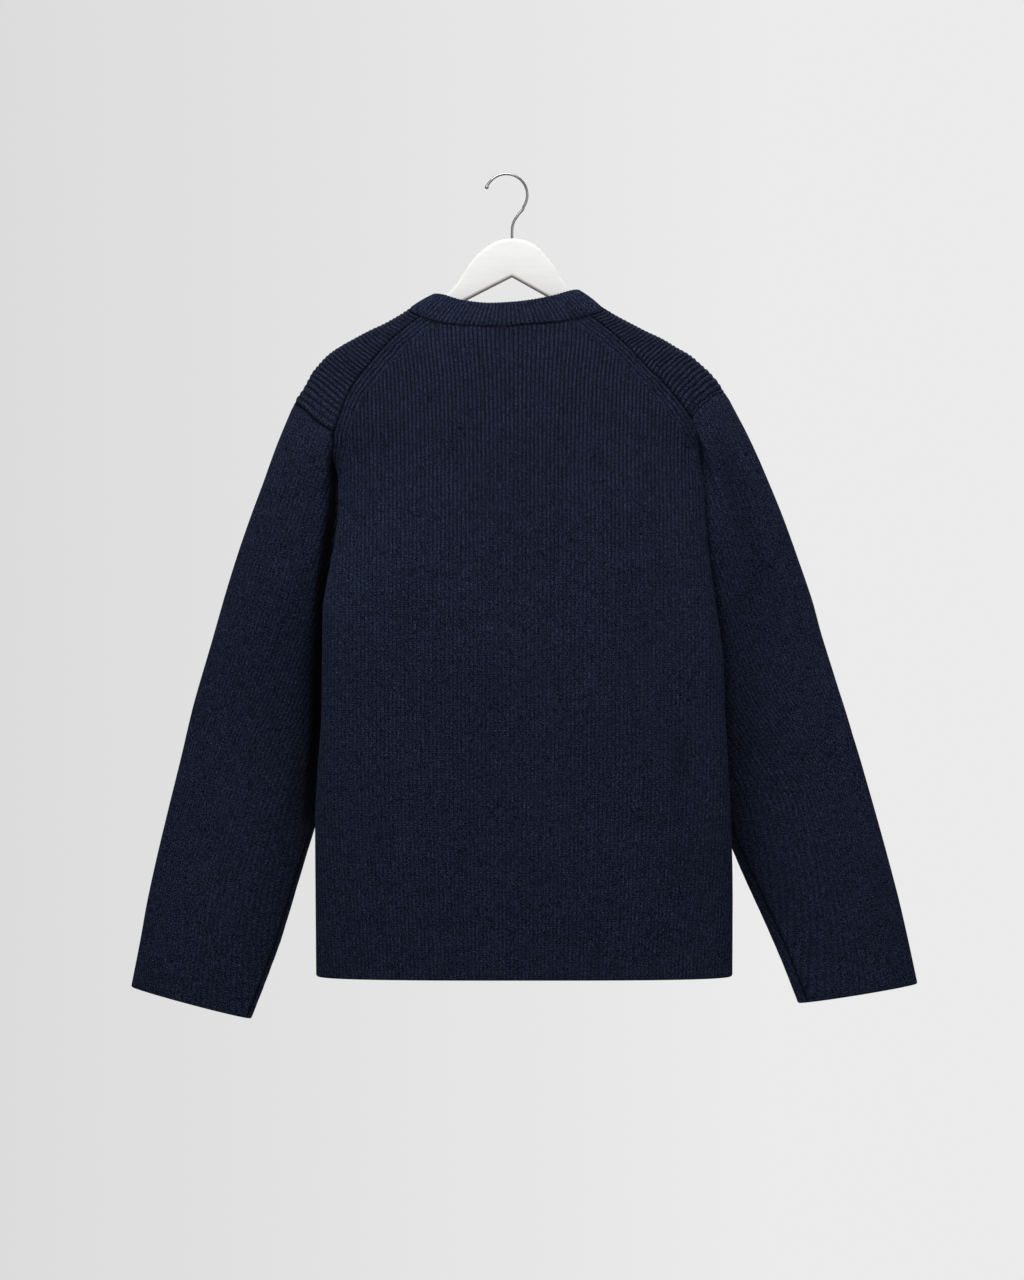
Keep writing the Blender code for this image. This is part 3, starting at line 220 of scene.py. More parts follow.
# the hanger's outline, x and z
HANGER_TOP = metres({
    "left": (
        (0, -633), (-140, -655), (-255, -717), (-360, -800), (-439, -890), (-500, -985), (-545, -1054),
        (-610, -1140), (-690, -1215), (-790, -1285), (-1020, -1410), (-1270, -1555), (-1490, -1672),
        (-1700, -1787), (-1860, -1890),
    ),
    "right": (
        (0, -633), (140, -655), (255, -717), (360, -820), (449, -931), (530, -1055), (599, -1155),
        (690, -1260), (900, -1405), (1070, -1500), (1230, -1580), (1400, -1660), (1560, -1745),
        (1700, -1835), (1830, -1925),
    ),
})
HANGER_END = metres({
    "left": (-1935, -1975),
    "right": (1905, -2010),
})
HANGER_BOTTOM = metres({
    "left": ((-1880, -2035), (-1500, -1830), (-1000, -1545), (-436, -1247)),
    "right": ((1850, -2065), (1500, -1880), (1000, -1590), (366, -1230)),
})
HANGER_APEX = metres((0, -1024))

# -------- the knitting
QUARTERS = 4  # points across one rib
RIB_POWER = 0.8  # the smaller, the flatter a rib's crest and the narrower its groove
BODY_PITCH = ((-0.1500, 0.00406), (-0.5950, 0.00405), (-0.7120, 0.00396), (HEM_Z, 0.00383))  # height, one rib
NAPE_FAN = ((-0.1500, 0.00066), (-0.1740, 0.00054), (-0.2070, 0.00023), (-0.2480, 0.00008), (-0.2890, 0.0))
PLUMB_X = 0.0040  # the back's middle wale hangs straight down here
FAN_WALES = 13.0  # the nape's ribs spread apart over about this many wales on each side of the centre
FRONT_PITCH = 0.00403
SLEEVE_PITCH = 0.00400
NECK_PITCH = 0.00483
BAND_RIBS = 8
BAND_PITCH = BUTTON_BAND / BAND_RIBS
EDGE_RIBS = 4  # ribs that run beside each shoulder seam, where the back is narrowed
EDGE_PITCH = 0.00415
EDGE_STEP = 0.0013  # between the points along those ribs
ROW_STEP = 0.0085  # two rows of points
SEAM_STEP = 0.0012
MESH_CLEAR = 0.55  # the least distance, in quarters of a rib, from the outline to the points inside it
EDGE_ROUND = 0.0020  # how far in from its edge a piece of cloth has its full thickness
ROUND_INSETS = (0.0008, 0.0021)  # where points follow a piece's edge, so that it can round off
INSET_CLEAR = 0.8  # share of that distance which they keep from the rest of the outline
EDGE_THICK = 0.30  # share of the thickness left at an edge
DENT_THICK = 0.45  # share left where two edges of one piece meet
DENT_POWER = 0.7
HEAD_RISE = 0.006  # a sleeve leaves the armhole seam within this length
SEAM_SHADE_REACH = 0.0022  # how far the shade painted along a seam reaches on each side of it
RIB_DEPTH = {"body": 0.0010, "shoulder": 0.0023, "sleeve": 0.0006, "band": 0.0020}
BACK_RIB_DEPTH = 0.0020  # of the back's ribs near the shoulders
BACK_DEEPER = (-0.42, 0.20)  # the height where they begin to grow deeper, and the rise in which they do
FRONT_DEEPER = (-0.27, 0.05)  # the same for the fronts' ribs, which are deep on the back only:
FRONT_SHALLOWER = (0.02, -0.03)  # the depth where they are shallow, and the way back in which they grow
PALE_SEAM = 0.18  # how strong the painted shade is along a flat-lying seam, against one that is drawn in
OVERLAP_WIDTH = 0.060  # how far in from its edge the left front rises to lie over the right one
OVER_ROWS = 18  # rows of points from the shoulder's ridge to the front's seam on the back
OVER_LENGTH = 0.04  # about how far it is from the ridge to that seam


# -------- numbers, directions and curves
def limit(values):
    """The values, kept between 0 and 1."""
    return np.clip(values, 0.0, 1.0)


def ramp(values, start, reach):
    """0 up to the start and 1 from a reach beyond it."""
    return limit((values - start) / reach)


def ease(values):
    """A smooth step from 0 to 1."""
    t = limit(values)
    return t * t * (3 - 2 * t)


def unit(directions):
    """The directions, made one long."""
    return directions / np.linalg.norm(directions, axis=-1, keepdims=True)


def beside(*parts):
    """Lists of numbers as the columns of one table."""
    return np.stack(parts, axis=1)


def fit(xs, ys):
    """A monotone cubic through a short table, as its points and the slopes there."""
    xs = np.asarray(xs, float)
    ys = np.asarray(ys, float)
    if xs[0] > xs[-1]:
        xs = xs[::-1]
        ys = ys[::-1]
    step = np.diff(xs)
    rise = np.diff(ys) / step
    tangent = np.zeros_like(ys)
    tangent[0] = rise[0]
    tangent[-1] = rise[-1]
    for i in range(1, len(xs) - 1):
        if rise[i - 1] * rise[i] > 0:
            a = 2 * step[i] + step[i - 1]
            b = step[i] + 2 * step[i - 1]
            tangent[i] = (a + b) / (a / rise[i - 1] + b / rise[i])
    return xs, ys, tangent


def read_off(curve, x):
    """The fitted cubic's height at x."""
    xs, ys, tangent = curve
    x = np.clip(x, xs[0], xs[-1])
    i = np.clip(np.searchsorted(xs, x) - 1, 0, len(xs) - 2)
    step = xs[i + 1] - xs[i]
    t = (x - xs[i]) / step
    return (
        (2 * t**3 - 3 * t**2 + 1) * ys[i]
        + (t**3 - 2 * t**2 + t) * step * tangent[i]
        + (3 * t**2 - 2 * t**3) * ys[i + 1]
        + (t**3 - t**2) * step * tangent[i + 1]
    )


def fit_columns(table):
    """One fitted curve for each column of a table after its first."""
    return [fit(table[:, 0], table[:, k]) for k in range(1, table.shape[1])]


RING_CURVES = fit_columns(RINGS)
SLEEVE_CURVES = {hand: fit_columns(rows) for hand, rows in SLEEVE_ROWS.items()}
PITCH_CURVE = fit(*zip(*BODY_PITCH))
FAN_CURVE = fit(*zip(*NAPE_FAN))


def reach_along(points):
    """The length of a line of points, from its start to each of them."""
    return np.concatenate(([0.0], np.cumsum(np.linalg.norm(np.diff(points, axis=0), axis=1))))


def at_reach(line, wanted):
    """Points of a line at the wanted distances from its start."""
    length = reach_along(line)
    return beside(*(np.interp(wanted, length, part) for part in line.T))


def evenly(line, count):
    """The line as count equal steps."""
    return at_reach(line, np.linspace(0.0, reach_along(line)[-1], count + 1))


FINE_POINTS = 2000


def smooth_line(points, step):
    """The smooth curve through a few points, as points at equal steps of about the given length."""
    points = np.asarray(points, float)
    reach = reach_along(points)
    fine = np.linspace(0.0, reach[-1], FINE_POINTS)
    curve = beside(*(read_off(fit(reach, part), fine) for part in points.T))
    length = reach_along(curve)[-1]
    return at_reach(curve, np.linspace(0.0, length, int(round(length / step)) + 1))


# -------- the body's form
POWER_BLEND = 0.024  # the depth in which the back's superellipse turns into the front's
SLOPE_STEP = 1e-5


def ring(z):
    """The seven sizes of the body's horizontal ring at each height."""
    return [read_off(curve, z) for curve in RING_CURVES]


def ring_centre(z):
    """The middle of a ring's width."""
    left, right = ring(z)[:2]
    return (left + right) / 2


def level(points):
    """1 on the body's form, more outside it."""
    x, y, z = points[..., 0], points[..., 1], points[..., 2]
    left, right, side, back, front, back_power, front_power = ring(z)
    power = back_power + (front_power - back_power) * ease((y - side) / POWER_BLEND + 0.5)
    across = np.abs(x - (left + right) / 2) / ((right - left) / 2)
    depth = np.where(y < side, (side - y) / (side - back), (y - side) / (front - side))
    return (across**power + depth**power) ** (1 / power)


def slope(points):
    """The gradient of the form's level."""
    moves = SLOPE_STEP * np.eye(3)
    rises = [level(points + move) - level(points - move) for move in moves]
    return np.stack(rises, axis=-1) / (2 * SLOPE_STEP)


def outward(points):
    """The form's outward direction."""
    return unit(slope(points))


TABLE_STEP = 0.0020
TABLE_Z = np.arange(RINGS[0][0], HEM_Z - 3 * TABLE_STEP, -TABLE_STEP)
TABLE_COLUMNS = 1200
ALMOST_ONE = 1.001  # keeps a place in a table short of its last column


def quarter_tables():
    """Each ring's back and front quarters, as points across and deep at equal steps, and their lengths."""
    left, right, side, back, front, back_power, front_power = [v[:, None] for v in ring(TABLE_Z)]
    angle = np.linspace(0.0, math.pi / 2, TABLE_COLUMNS)[None, :]
    sine, cosine = np.sin(angle), np.cos(angle)
    found = []
    for across, along, end, power in ((sine, cosine, back, back_power), (cosine, sine, front, front_power)):
        depth = side + (end - side) * along ** (2 / power)
        lines = np.stack(((right - left) / 2 * across ** (2 / power), depth), axis=2)
        found.append((np.array([evenly(line, TABLE_COLUMNS - 1) for line in lines]),
                      np.array([reach_along(line)[-1] for line in lines])))
    return found


(BACK_SHAPE, BACK_LENGTH), (FRONT_SHAPE, FRONT_LENGTH) = quarter_tables()


def table_row(z):
    """The row of the tables just above a height, and how far the height lies below it, 0 to 1."""
    row = np.clip((TABLE_Z[0] - z) / TABLE_STEP, 0, len(TABLE_Z) - ALMOST_ONE)
    i = row.astype(int)
    return i, row - i


def quarter_lengths(z):
    """The lengths of the back and the front quarters at each height."""
    i, t = table_row(np.asarray(z, float))
    return [size[i] * (1 - t) + size[i + 1] * t for size in (BACK_LENGTH, FRONT_LENGTH)]


def quarter_line(shape, z):
    """One quarter of a single ring, as points across and deep at equal steps."""
    i, t = [v[0] for v in table_row(np.array([z]))]
    return shape[i] * (1 - t) + shape[i + 1] * t


def form(reach, z):
    """The point of the form at a distance round from the centre of the back, less than 0 on the left."""
    reach = np.asarray(reach, float)
    z = np.asarray(z, float)
    i, t = table_row(z)
    back, front = quarter_lengths(z)
    away = np.abs(reach)
    over = away > back
    share = np.where(over, (away - back) / front, away / back)
    column = limit(share) * (TABLE_COLUMNS - ALMOST_ONE)
    j = column.astype(int)
    u = (column - j)[:, None]
    t = t[:, None]
    flat = []
    for shape in (BACK_SHAPE, FRONT_SHAPE):
        above = shape[i, j] * (1 - u) + shape[i, j + 1] * u
        below = shape[i + 1, j] * (1 - u) + shape[i + 1, j + 1] * u
        flat.append(above * (1 - t) + below * t)
    spot = np.where(over[:, None], flat[1], flat[0])
    return beside(ring_centre(z) + np.where(reach < 0, -1, 1) * spot[:, 0], spot[:, 1], z)


def chart_of(points):
    """The distance round and the height of points near the form: the reverse of form."""
    found = []
    for x, y, z in points:
        across = x - ring_centre(z)
        back, front = quarter_lengths(z)
        best = []
        for shape, before, size in ((BACK_SHAPE, 0.0, back), (FRONT_SHAPE, back, front)):
            line = quarter_line(shape, z)
            gap = np.hypot(line[:, 0] - abs(across), line[:, 1] - y)
            k = int(np.argmin(gap))
            best.append((gap[k], before + size * k / (TABLE_COLUMNS - 1)))
        found.append(((-1 if across < 0 else 1) * min(best)[1], z))
    return np.array(found)


def at_turn(turn, z, hand):
    """The chart's place of a turn: 0 is the back's centre, 1 the ring's end and 2 the front's centre."""
    back, front = quarter_lengths(z)
    return SIGN[hand] * float(back * min(turn, 1.0) + front * max(turn - 1.0, 0.0)), z


def on_turn(turn, z, hand):
    """The point of the form at a turn."""
    reach, z = at_turn(turn, z, hand)
    return form(np.array([reach]), np.array([z]))[0]


def on_sheet(x, z, sheet):
    """The point of the form at x and z, on its back or its front."""
    line = quarter_line(BACK_SHAPE, z) if sheet == "back" else quarter_line(FRONT_SHAPE, z)[::-1]
    return np.array([x, np.interp(abs(x - ring_centre(z)), line[:, 0], line[:, 1]), z])


# -------- the seams, as lines on the chart
def seams(hand):
    """The seams of one side of the body, as lines of chart places shared by the pieces that they join."""
    neck_x, neck_z = NECK_BACK[0 if hand == "left" else -1]

    def on_back(rows):
        return [on_sheet(x, z, "back") for x, z in rows]

    def on_front(rows):
        return [on_sheet(SIGN[hand] * x, z, "front") for x, z in rows]

    def on_turns(rows):
        return [on_turn(turn, z, hand) for turn, z in rows]

    top = on_back(SLEEVE_TOP[hand])
    point = on_turns([(1.0, SHOULDER_POINT_Z[hand])])
    under = on_turns([UNDERARM[hand]])
    bend = (NECK_TURN, neck_z + NECK_TURN_RISE)
    over = on_back([(neck_x, neck_z)]) + on_turns([bend, (1.0, NECK_RIDGE_Z[hand])])
    lines = {
        "shoulder": on_back(SHOULDER_SEAM[hand]),
        "sleeve_top": top + point,
        "back_armhole": top[:1] + on_turns(ARMHOLE_BACK[hand]) + under,
        "front_armhole": under + on_turns(ARMHOLE_FRONT[hand]) + point,
        "side": on_turns(SIDE_SEAM) + under,
        "neck_over": over,
        "neck_front": over[-1:] + on_front(NECK_FRONT),
        "edge": on_front([(BUTTON_BAND / 2, z) for z in FRONT_EDGE_Z]),
    }
    found = {name: chart_of(smooth_line(line, SEAM_STEP)) for name, line in lines.items()}
    heights = np.linspace(SHOULDER_POINT_Z[hand], NECK_RIDGE_Z[hand], RIDGE_POINTS)
    found["ridge"] = np.array([at_turn(1.0, z, hand) for z in heights])
    return found


# -------- charts of knitting, joined into triangles
def rib(wale):
    """The height of the ribs, 0 in the groove between two wales and 1 on a wale's crest."""
    return np.sin(math.pi * (wale - np.floor(wale))) ** RIB_POWER


def inside(outline, points):
    """Which points lie inside a closed outline."""
    kept = np.zeros(len(points), bool)
    for (x0, y0), (x1, y1) in zip(outline, np.roll(outline, -1, axis=0)):
        if y0 != y1:
            between = (points[:, 1] >= min(y0, y1)) & (points[:, 1] < max(y0, y1))
            kept ^= between & (points[:, 0] < x0 + (points[:, 1] - y0) * (x1 - x0) / (y1 - y0))
    return kept


def nearest(lines, points):
    """The distance from each point to the nearest of the points of some lines, and that one's number."""
    lines, points = [np.pad(table, ((0, 0), (0, 3 - table.shape[1]))) for table in (lines, points)]
    tree = KDTree(len(lines))
    for i, place in enumerate(lines):
        tree.insert(place, i)
    tree.balance()
    found = [tree.find(place)[1:] for place in points]
    return np.array([gap for _, gap in found]), np.array([i for i, _ in found])


def edge_insets(line, outline):
    """Points a little way in from a line of the outline, where the cloth's edge rounds off."""
    ahead = np.gradient(line, axis=0)
    ahead = ahead / np.maximum(np.linalg.norm(ahead, axis=1, keepdims=True), 1e-9)
    square = beside(-ahead[:, 1], ahead[:, 0])
    found = []
    for away in ROUND_INSETS:
        for side in (1, -1):
            moved = line + away * side * square
            moved = moved[inside(outline, moved)]
            gap, _ = nearest(outline, moved)
            found.append(moved[gap > away * INSET_CLEAR])
    return np.vstack(found)


def fill(outline, inner, rows, columns):
    """Triangles that fill an outline, with the inner points and the crossings of rows and columns inside it.

    All places count columns across and rows along, so that the wales are straight upright lines here.
    """
    across, along = np.meshgrid(columns, rows)
    lattice = beside(across.ravel(), along.ravel())
    lattice = lattice[inside(outline, lattice)]
    gap, _ = nearest(np.vstack((outline, inner)), lattice)
    places = np.vstack((outline, inner, lattice[gap > MESH_CLEAR]))
    count = len(outline)
    loop = [(i, (i + 1) % count) for i in range(count)]
    made = delaunay_2d_cdt([Vector(p) for p in places], loop, [list(range(count))], 1, 1e-6, True)
    source = []
    for place, ids in zip(made[0], made[3]):
        source.append(ids[0] if ids else int(np.argmin(np.linalg.norm(places - np.array(place), axis=1))))
    triangles = np.array([[source[i] for i in face] for face in made[2] if len(face) == 3])
    return places, triangles[inside(outline, places[triangles].mean(axis=1))]


def grid_triangles(rows, columns, missing=()):
    """The triangles of a grid of points, row after row, but for the missing cells."""
    cells = [i * columns + j for i in range(rows - 1) for j in range(columns - 1) if (i, j) not in missing]
    a = np.array(cells)
    b, c, d = a + 1, a + columns + 1, a + columns
    return beside(a, b, c, a, c, d).reshape(-1, 3)


def weld(points, triangles, values):
    """The same mesh with the points that fall together made one, and its values kept."""
    keys = np.round(points / 2e-6).astype(np.int64)
    _, first, back = np.unique(keys, axis=0, return_index=True, return_inverse=True)
    triangles = back.ravel()[triangles]
    flat = np.any(triangles == np.roll(triangles, 1, axis=1), axis=1)
    return points[first], triangles[~flat], {name: value[first] for name, value in values.items()}


def face_normals(points, triangles):
    """A direction square to each triangle."""
    corner = points[triangles]
    return np.cross(corner[:, 1] - corner[:, 0], corner[:, 2] - corner[:, 0])


def vertex_normals(points, triangles):
    """Directions square to a mesh at its points."""
    face = face_normals(points, triangles)
    total = np.zeros_like(points)
    for k in range(3):
        np.add.at(total, triangles[:, k], face)
    return total / np.maximum(np.linalg.norm(total, axis=1, keepdims=True), 1e-12)


def grid_normals(grid):
    """Directions square to a grid of points."""
    return unit(np.cross(np.gradient(grid, axis=1), np.gradient(grid, axis=0)))


def facing_out(points, triangles, normal):
    """The triangles, turned so that they face along the given directions."""
    wrong = np.sum(face_normals(points, triangles) * normal[triangles[:, 0]], axis=1) < 0
    turned = triangles.copy()
    turned[wrong] = turned[wrong][:, ::-1]
    return turned


def free_edges(triangles):
    """The edges that belong to one triangle only, in that triangle's direction."""
    pairs = np.vstack((triangles[:, [0, 1]], triangles[:, [1, 2]], triangles[:, [2, 0]]))
    _, first, count = np.unique(np.sort(pairs, axis=1), axis=0, return_index=True, return_counts=True)
    return pairs[first[count == 1]]


def add_object(name, data):
    """A new object in the scene."""
    made = bpy.data.objects.new(name, data)
    bpy.context.scene.collection.objects.link(made)
    return made


def mesh_object(name, points, triangles):
    """A smoothly shaded object in the scene, from points in the garment's own frame."""
    mesh = bpy.data.meshes.new(name)
    mesh.vertices.add(len(points))
    mesh.vertices.foreach_set("co", (points + GARMENT_SHIFT).astype(np.float32).ravel())
    mesh.loops.add(len(triangles) * 3)
    mesh.loops.foreach_set("vertex_index", np.asarray(triangles, np.int32).ravel())
    mesh.polygons.add(len(triangles))
    mesh.polygons.foreach_set("loop_start", np.arange(0, len(triangles) * 3, 3, dtype=np.int32))
    mesh.update(calc_edges=True)
    mesh.validate()
    mesh.shade_smooth()
    return add_object(name, mesh)


def shell(name, points, triangles, wale, course, sewn, free, wall, depth, normal=None, soft=(), dark=0.0,
          pale=None):
    """A closed shell of ribbed cloth about a mesh, thinner towards its sewn and free edges.

    Soft lines, where two edges of one piece meet, only dent it. Shade is painted into the cloth's colour near
    the sewn edges and soft lines, and as dark says; a pale line is the part of the sewn edges where it is
    faint.
    """
    if normal is None:
        normal = vertex_normals(points, triangles)
    gap, _ = nearest(np.vstack((sewn, free)), points)
    thick = EDGE_THICK + (1 - EDGE_THICK) * np.sqrt(1 - (1 - limit(gap / EDGE_ROUND)) ** 2)
    dent = np.ones(len(points))
    for line in soft:
        near, _ = nearest(line, points)
        dent = np.minimum(dent, DENT_THICK + (1 - DENT_THICK) * limit(near / EDGE_ROUND) ** DENT_POWER)
    layers = []
    for side, ribs in ((1, wale), (-1, wale + 0.5)):
        away = (wall / 2 - depth * (1 - rib(ribs))) * thick * dent
        layers.append(points + side * normal * away[:, None])
    count = len(points)
    a, b = free_edges(triangles).T
    faces = (triangles, triangles[:, ::-1] + count, beside(b, a, a + count), beside(b, a + count, b + count))
    made = mesh_object(name, np.vstack(layers), np.vstack(faces))
    # Painted shade: the cloth's colour is darkened near its seams and soft lines, and in the dark creases, as
    # the shade that falls there.
    near, _ = nearest(np.vstack((sewn, *soft)), points)
    painted_shade = limit(1 - near / SEAM_SHADE_REACH)
    if pale is not None:
        at_pale, _ = nearest(pale, points)
        painted_shade = np.where(at_pale < near + SEAM_STEP, painted_shade * PALE_SEAM, painted_shade)
    painted_shade = np.maximum(painted_shade, dark)
    relief = np.broadcast_to(depth, wale.shape) / RIB_DEPTH["shoulder"]
    for label, outer, inner in (("wale", wale, wale + 0.5), ("course", course, course),
                                ("relief", relief, relief), ("painted_shade", painted_shade, painted_shade)):
        layer = made.data.attributes.new(label, "FLOAT", "POINT")
        layer.data.foreach_set("value", np.concatenate((outer, inner)).astype(np.float32))


# -------- the knitted body
HEM_MARGIN = 0.3  # how close, in quarters of a rib, a wale of points may come to the hem's corners
RIDGE_MARGIN = 0.4  # the same on a shoulder's ridge and in a cuff
BACK_TOP = -0.14  # a height above the whole back, inside its strips
FRONT_TOP = -0.13
BACK_COLUMNS = np.arange(-320, 321)  # quarters of a rib across each piece, more than it is wide
FRONT_COLUMNS = np.arange(0, 300)
SLEEVE_COLUMNS = np.arange(-220, 221)
SEAM_PARTS = 4000  # steps in which the shoulder's seam is read off
STRIP_BLEND = 0.020  # how far from its ends a strip follows the neighbouring seams
STRIP_GUIDE = 40  # points of a neighbouring seam that are enough to follow
STRIP_SMOOTH = 8  # neighbours on each side over which a strip's direction is averaged
LEAST_LEAN = 0.5  # a line that leaves the seam more slantingly is followed as if it left it so
NEWTON_STEPS = 6


def plumb(z):
    """How far round from a ring's centre the upright line below the nape crosses it."""
    return PLUMB_X - ring_centre(z)


def back_reach(wale, z):
    """How far round from the centre of the back a wale lies at a height."""
    fan = read_off(FAN_CURVE, z) * FAN_WALES
    return plumb(z) + wale * read_off(PITCH_CURVE, z) + fan * np.tanh(wale / FAN_WALES)


def back_wale(reach, z):
    """The wale at a place on the back, by Newton's method: the reverse of back_reach."""
    pitch = read_off(PITCH_CURVE, z)
    fan = read_off(FAN_CURVE, z)
    wale = (reach - plumb(z)) / pitch
    for _ in range(NEWTON_STEPS):
        steep = pitch + fan / np.cosh(wale / FAN_WALES) ** 2
        wale = wale - (back_reach(wale, z) - reach) / steep
    return wale


def smoothed(values, reach):
    """A running mean over a number of neighbours on each side."""
    ends = (np.repeat(values[:1], reach, axis=0), values, np.repeat(values[-1:], reach, axis=0))
    total = np.cumsum(np.concatenate((values[:1] * 0, np.concatenate(ends))), axis=0)
    return (total[2 * reach + 1:] - total[:-2 * reach - 1]) / (2 * reach + 1)


def strip_places(seam, first_line, last_line, width, columns, stations):
    """A strip beside a seam, as a grid whose rows start at the seam and whose ends follow two given lines."""
    line = evenly(seam, stations)
    ahead = unit(np.gradient(line, axis=0))
    square = beside(-ahead[:, 1], ahead[:, 0])
    if np.sum(square[0] * (first_line[-1] - first_line[0])) < 0:
        square = -square
    square = unit(smoothed(square, STRIP_SMOOTH))
    reach = reach_along(line)
    away = np.linspace(0.0, width, columns + 1)
    grid = line[:, None, :] + square[:, None, :] * away[None, :, None]
    for end, target, gap in ((0, first_line, reach), (-1, last_line, reach[-1] - reach)):
        lean = np.sum((at_reach(target, [width])[0] - target[0]) * square[end]) / width
        edge = at_reach(target, away / max(lean, LEAST_LEAN))
        shift = (edge - edge[0]) - square[end] * away[:, None]
        grid = grid + shift[None] * ease(1 - gap / STRIP_BLEND)[:, None, None]
    return grid


def edge_strips(sides, neck):
    """The wales beside each shoulder seam and armhole, as grids of chart places."""
    strips = {}
    for hand, found in sides.items():
        seam = np.vstack((found["shoulder"], found["back_armhole"][1:]))
        neck_way = (neck if hand == "left" else neck[::-1])[:STRIP_GUIDE]
        side_way = found["side"][::-1][:STRIP_GUIDE]
        strips[hand] = strip_places(seam, neck_way, side_way, EDGE_RIBS * EDGE_PITCH, EDGE_RIBS * QUARTERS,
                                    int(reach_along(seam)[-1] / EDGE_STEP))
    return strips


def clip_line(line, first, last):
    """The part of a line between the points nearest to two places."""
    start = int(np.argmin(np.linalg.norm(line - first, axis=1)))
    stop = int(np.argmin(np.linalg.norm(line - last, axis=1)))
    return line[start:stop + 1]


def panel(outline, edges, wale_of, reach_of, top, columns):
    """A filled panel with rounded edges: its places in metres on the chart, and its triangles.

    wale_of gives the wale at places of the chart, and reach_of how far round a wale lies at a height.
    """
    def counted(chart):
        return beside(wale_of(chart) * QUARTERS, chart[:, 1] / ROW_STEP * 2)

    insets = np.vstack([edge_insets(line, outline) for line in edges])
    rows = np.arange(HEM_Z + ROW_STEP, top, ROW_STEP) / ROW_STEP * 2
    places, triangles = fill(counted(outline), counted(insets), rows, columns)
    wale, row = places[len(outline) + len(insets):].T
    z = row * ROW_STEP / 2
    return np.vstack((outline, insets, beside(reach_of(wale / QUARTERS, z), z))), triangles


def on_hem(reach):
    """Places of the chart along the hem."""
    return beside(reach, np.full(len(reach), HEM_Z))


def back_panel(sides, neck, strips):
    """The back inside its two strips: its chart, its triangles and the hem's line."""
    corner = at_turn(SIDE_SEAM[0][0], HEM_Z, "right")[0]
    first, last = back_wale(np.array((-corner, corner)), np.array((HEM_Z, HEM_Z))) * QUARTERS
    hem_wales = np.arange(math.ceil(first + HEM_MARGIN), math.floor(last - HEM_MARGIN) + 1) / QUARTERS
    hem = on_hem(back_reach(hem_wales, np.array(HEM_Z)))
    flanks = {}
    for hand, found in sides.items():
        inner = strips[hand][:, -1]
        flanks[hand] = np.vstack((clip_line(found["side"], hem[0], inner[-1])[1:-1], inner[::-1]))
    top = clip_line(neck, strips["left"][0, -1], strips["right"][0, -1])
    outline = np.vstack((hem, flanks["right"], top[2:-2][::-1], flanks["left"][::-1]))
    edges = (hem, top, sides["left"]["side"], sides["right"]["side"])
    chart, triangles = panel(outline, edges, lambda places: back_wale(*places.T), back_reach, BACK_TOP,
                             BACK_COLUMNS)
    return chart, triangles, hem


def build_back(sides):
    """The back: upright wales, with a few that run beside each shoulder seam and armhole."""
    left, right = sides["left"], sides["right"]
    neck = chart_of(smooth_line([on_sheet(x, z, "back") for x, z in NECK_BACK], SEAM_STEP))
    strips = edge_strips(sides, neck)
    chart, triangles, hem = back_panel(sides, neck, strips)
    charts = [chart]
    faces = [triangles]
    wales = [back_wale(*chart.T) + 0.5]
    courses = [chart[:, 1]]
    for grid in strips.values():
        rows, columns = grid.shape[:2]
        faces.append(grid_triangles(rows, columns) + sum(len(part) for part in charts))
        charts.append(grid.reshape(-1, 2))
        wales.append(np.tile(np.arange(columns) / QUARTERS, rows))
        courses.append(np.repeat(reach_along(grid[:, 0]), columns))
    values = {"wale": np.concatenate(wales), "course": np.concatenate(courses)}
    points, triangles, values = weld(form(*np.vstack(charts).T), np.vstack(faces), values)
    points, dark = creased(points, "back")
    triangles = facing_out(points, triangles, outward(points))
    real = np.vstack((right["side"][1:], right["back_armhole"][::-1], right["shoulder"][::-1], neck[::-1],
                      left["shoulder"], left["back_armhole"], left["side"][::-1]))
    deeper = ramp(points[:, 2], *BACK_DEEPER)
    depth = RIB_DEPTH["body"] + (BACK_RIB_DEPTH - RIB_DEPTH["body"]) * deeper
    shell("back_knit", points, triangles, values["wale"], values["course"], form(*real.T), form(*hem.T), WALL,
          depth, dark=dark, pale=form(*right["back_armhole"].T))
    return neck


def over_shoulder(found, ridge, share):
    """A front's part over the shoulder, as rows of places from the ridge to its seam on the back."""
    top = evenly(found["shoulder"][::-1], SEAM_PARTS)[np.round(share * SEAM_PARTS).astype(int)]
    start = evenly(found["sleeve_top"][::-1], OVER_ROWS)
    end = evenly(found["neck_over"][::-1], OVER_ROWS)
    v = np.linspace(0.0, 1.0, OVER_ROWS + 1)[:, None, None]
    u = share[None, :, None]
    corners = (1 - u) * (1 - v) * ridge[0] + u * (1 - v) * ridge[-1] + (1 - u) * v * top[0] + u * v * top[-1]
    over = (1 - v) * ridge[None] + v * top[None] + (1 - u) * start[:, None] + u * end[:, None] - corners
    over[0] = ridge
    return over


class FrontWales:
    """Where a front's wales lie on the chart; wale 0 runs beside the button band."""

    def __init__(self, hand, edge):
        self.sign = SIGN[hand]
        self.heights = edge[:, 1]
        self.short = sum(quarter_lengths(self.heights)) - np.abs(edge[:, 0]) - BUTTON_BAND / 2

    def to_middle(self, z):
        """How far round from the back's middle the two fronts meet."""
        return sum(quarter_lengths(z)) - np.interp(z, self.heights, self.short)

    def from_edge(self, chart):
        """How far places of the chart are from where the fronts meet."""
        return self.to_middle(chart[:, 1]) - np.abs(chart[:, 0])

    def wale_of(self, chart):
        """The wale at places of the chart."""
        return (self.from_edge(chart) - BUTTON_BAND / 2) / FRONT_PITCH

    def reach_of(self, wale, z):
        """How far round from the back's middle a wale lies at a height."""
        return self.sign * (self.to_middle(z) - BUTTON_BAND / 2 - wale * FRONT_PITCH)


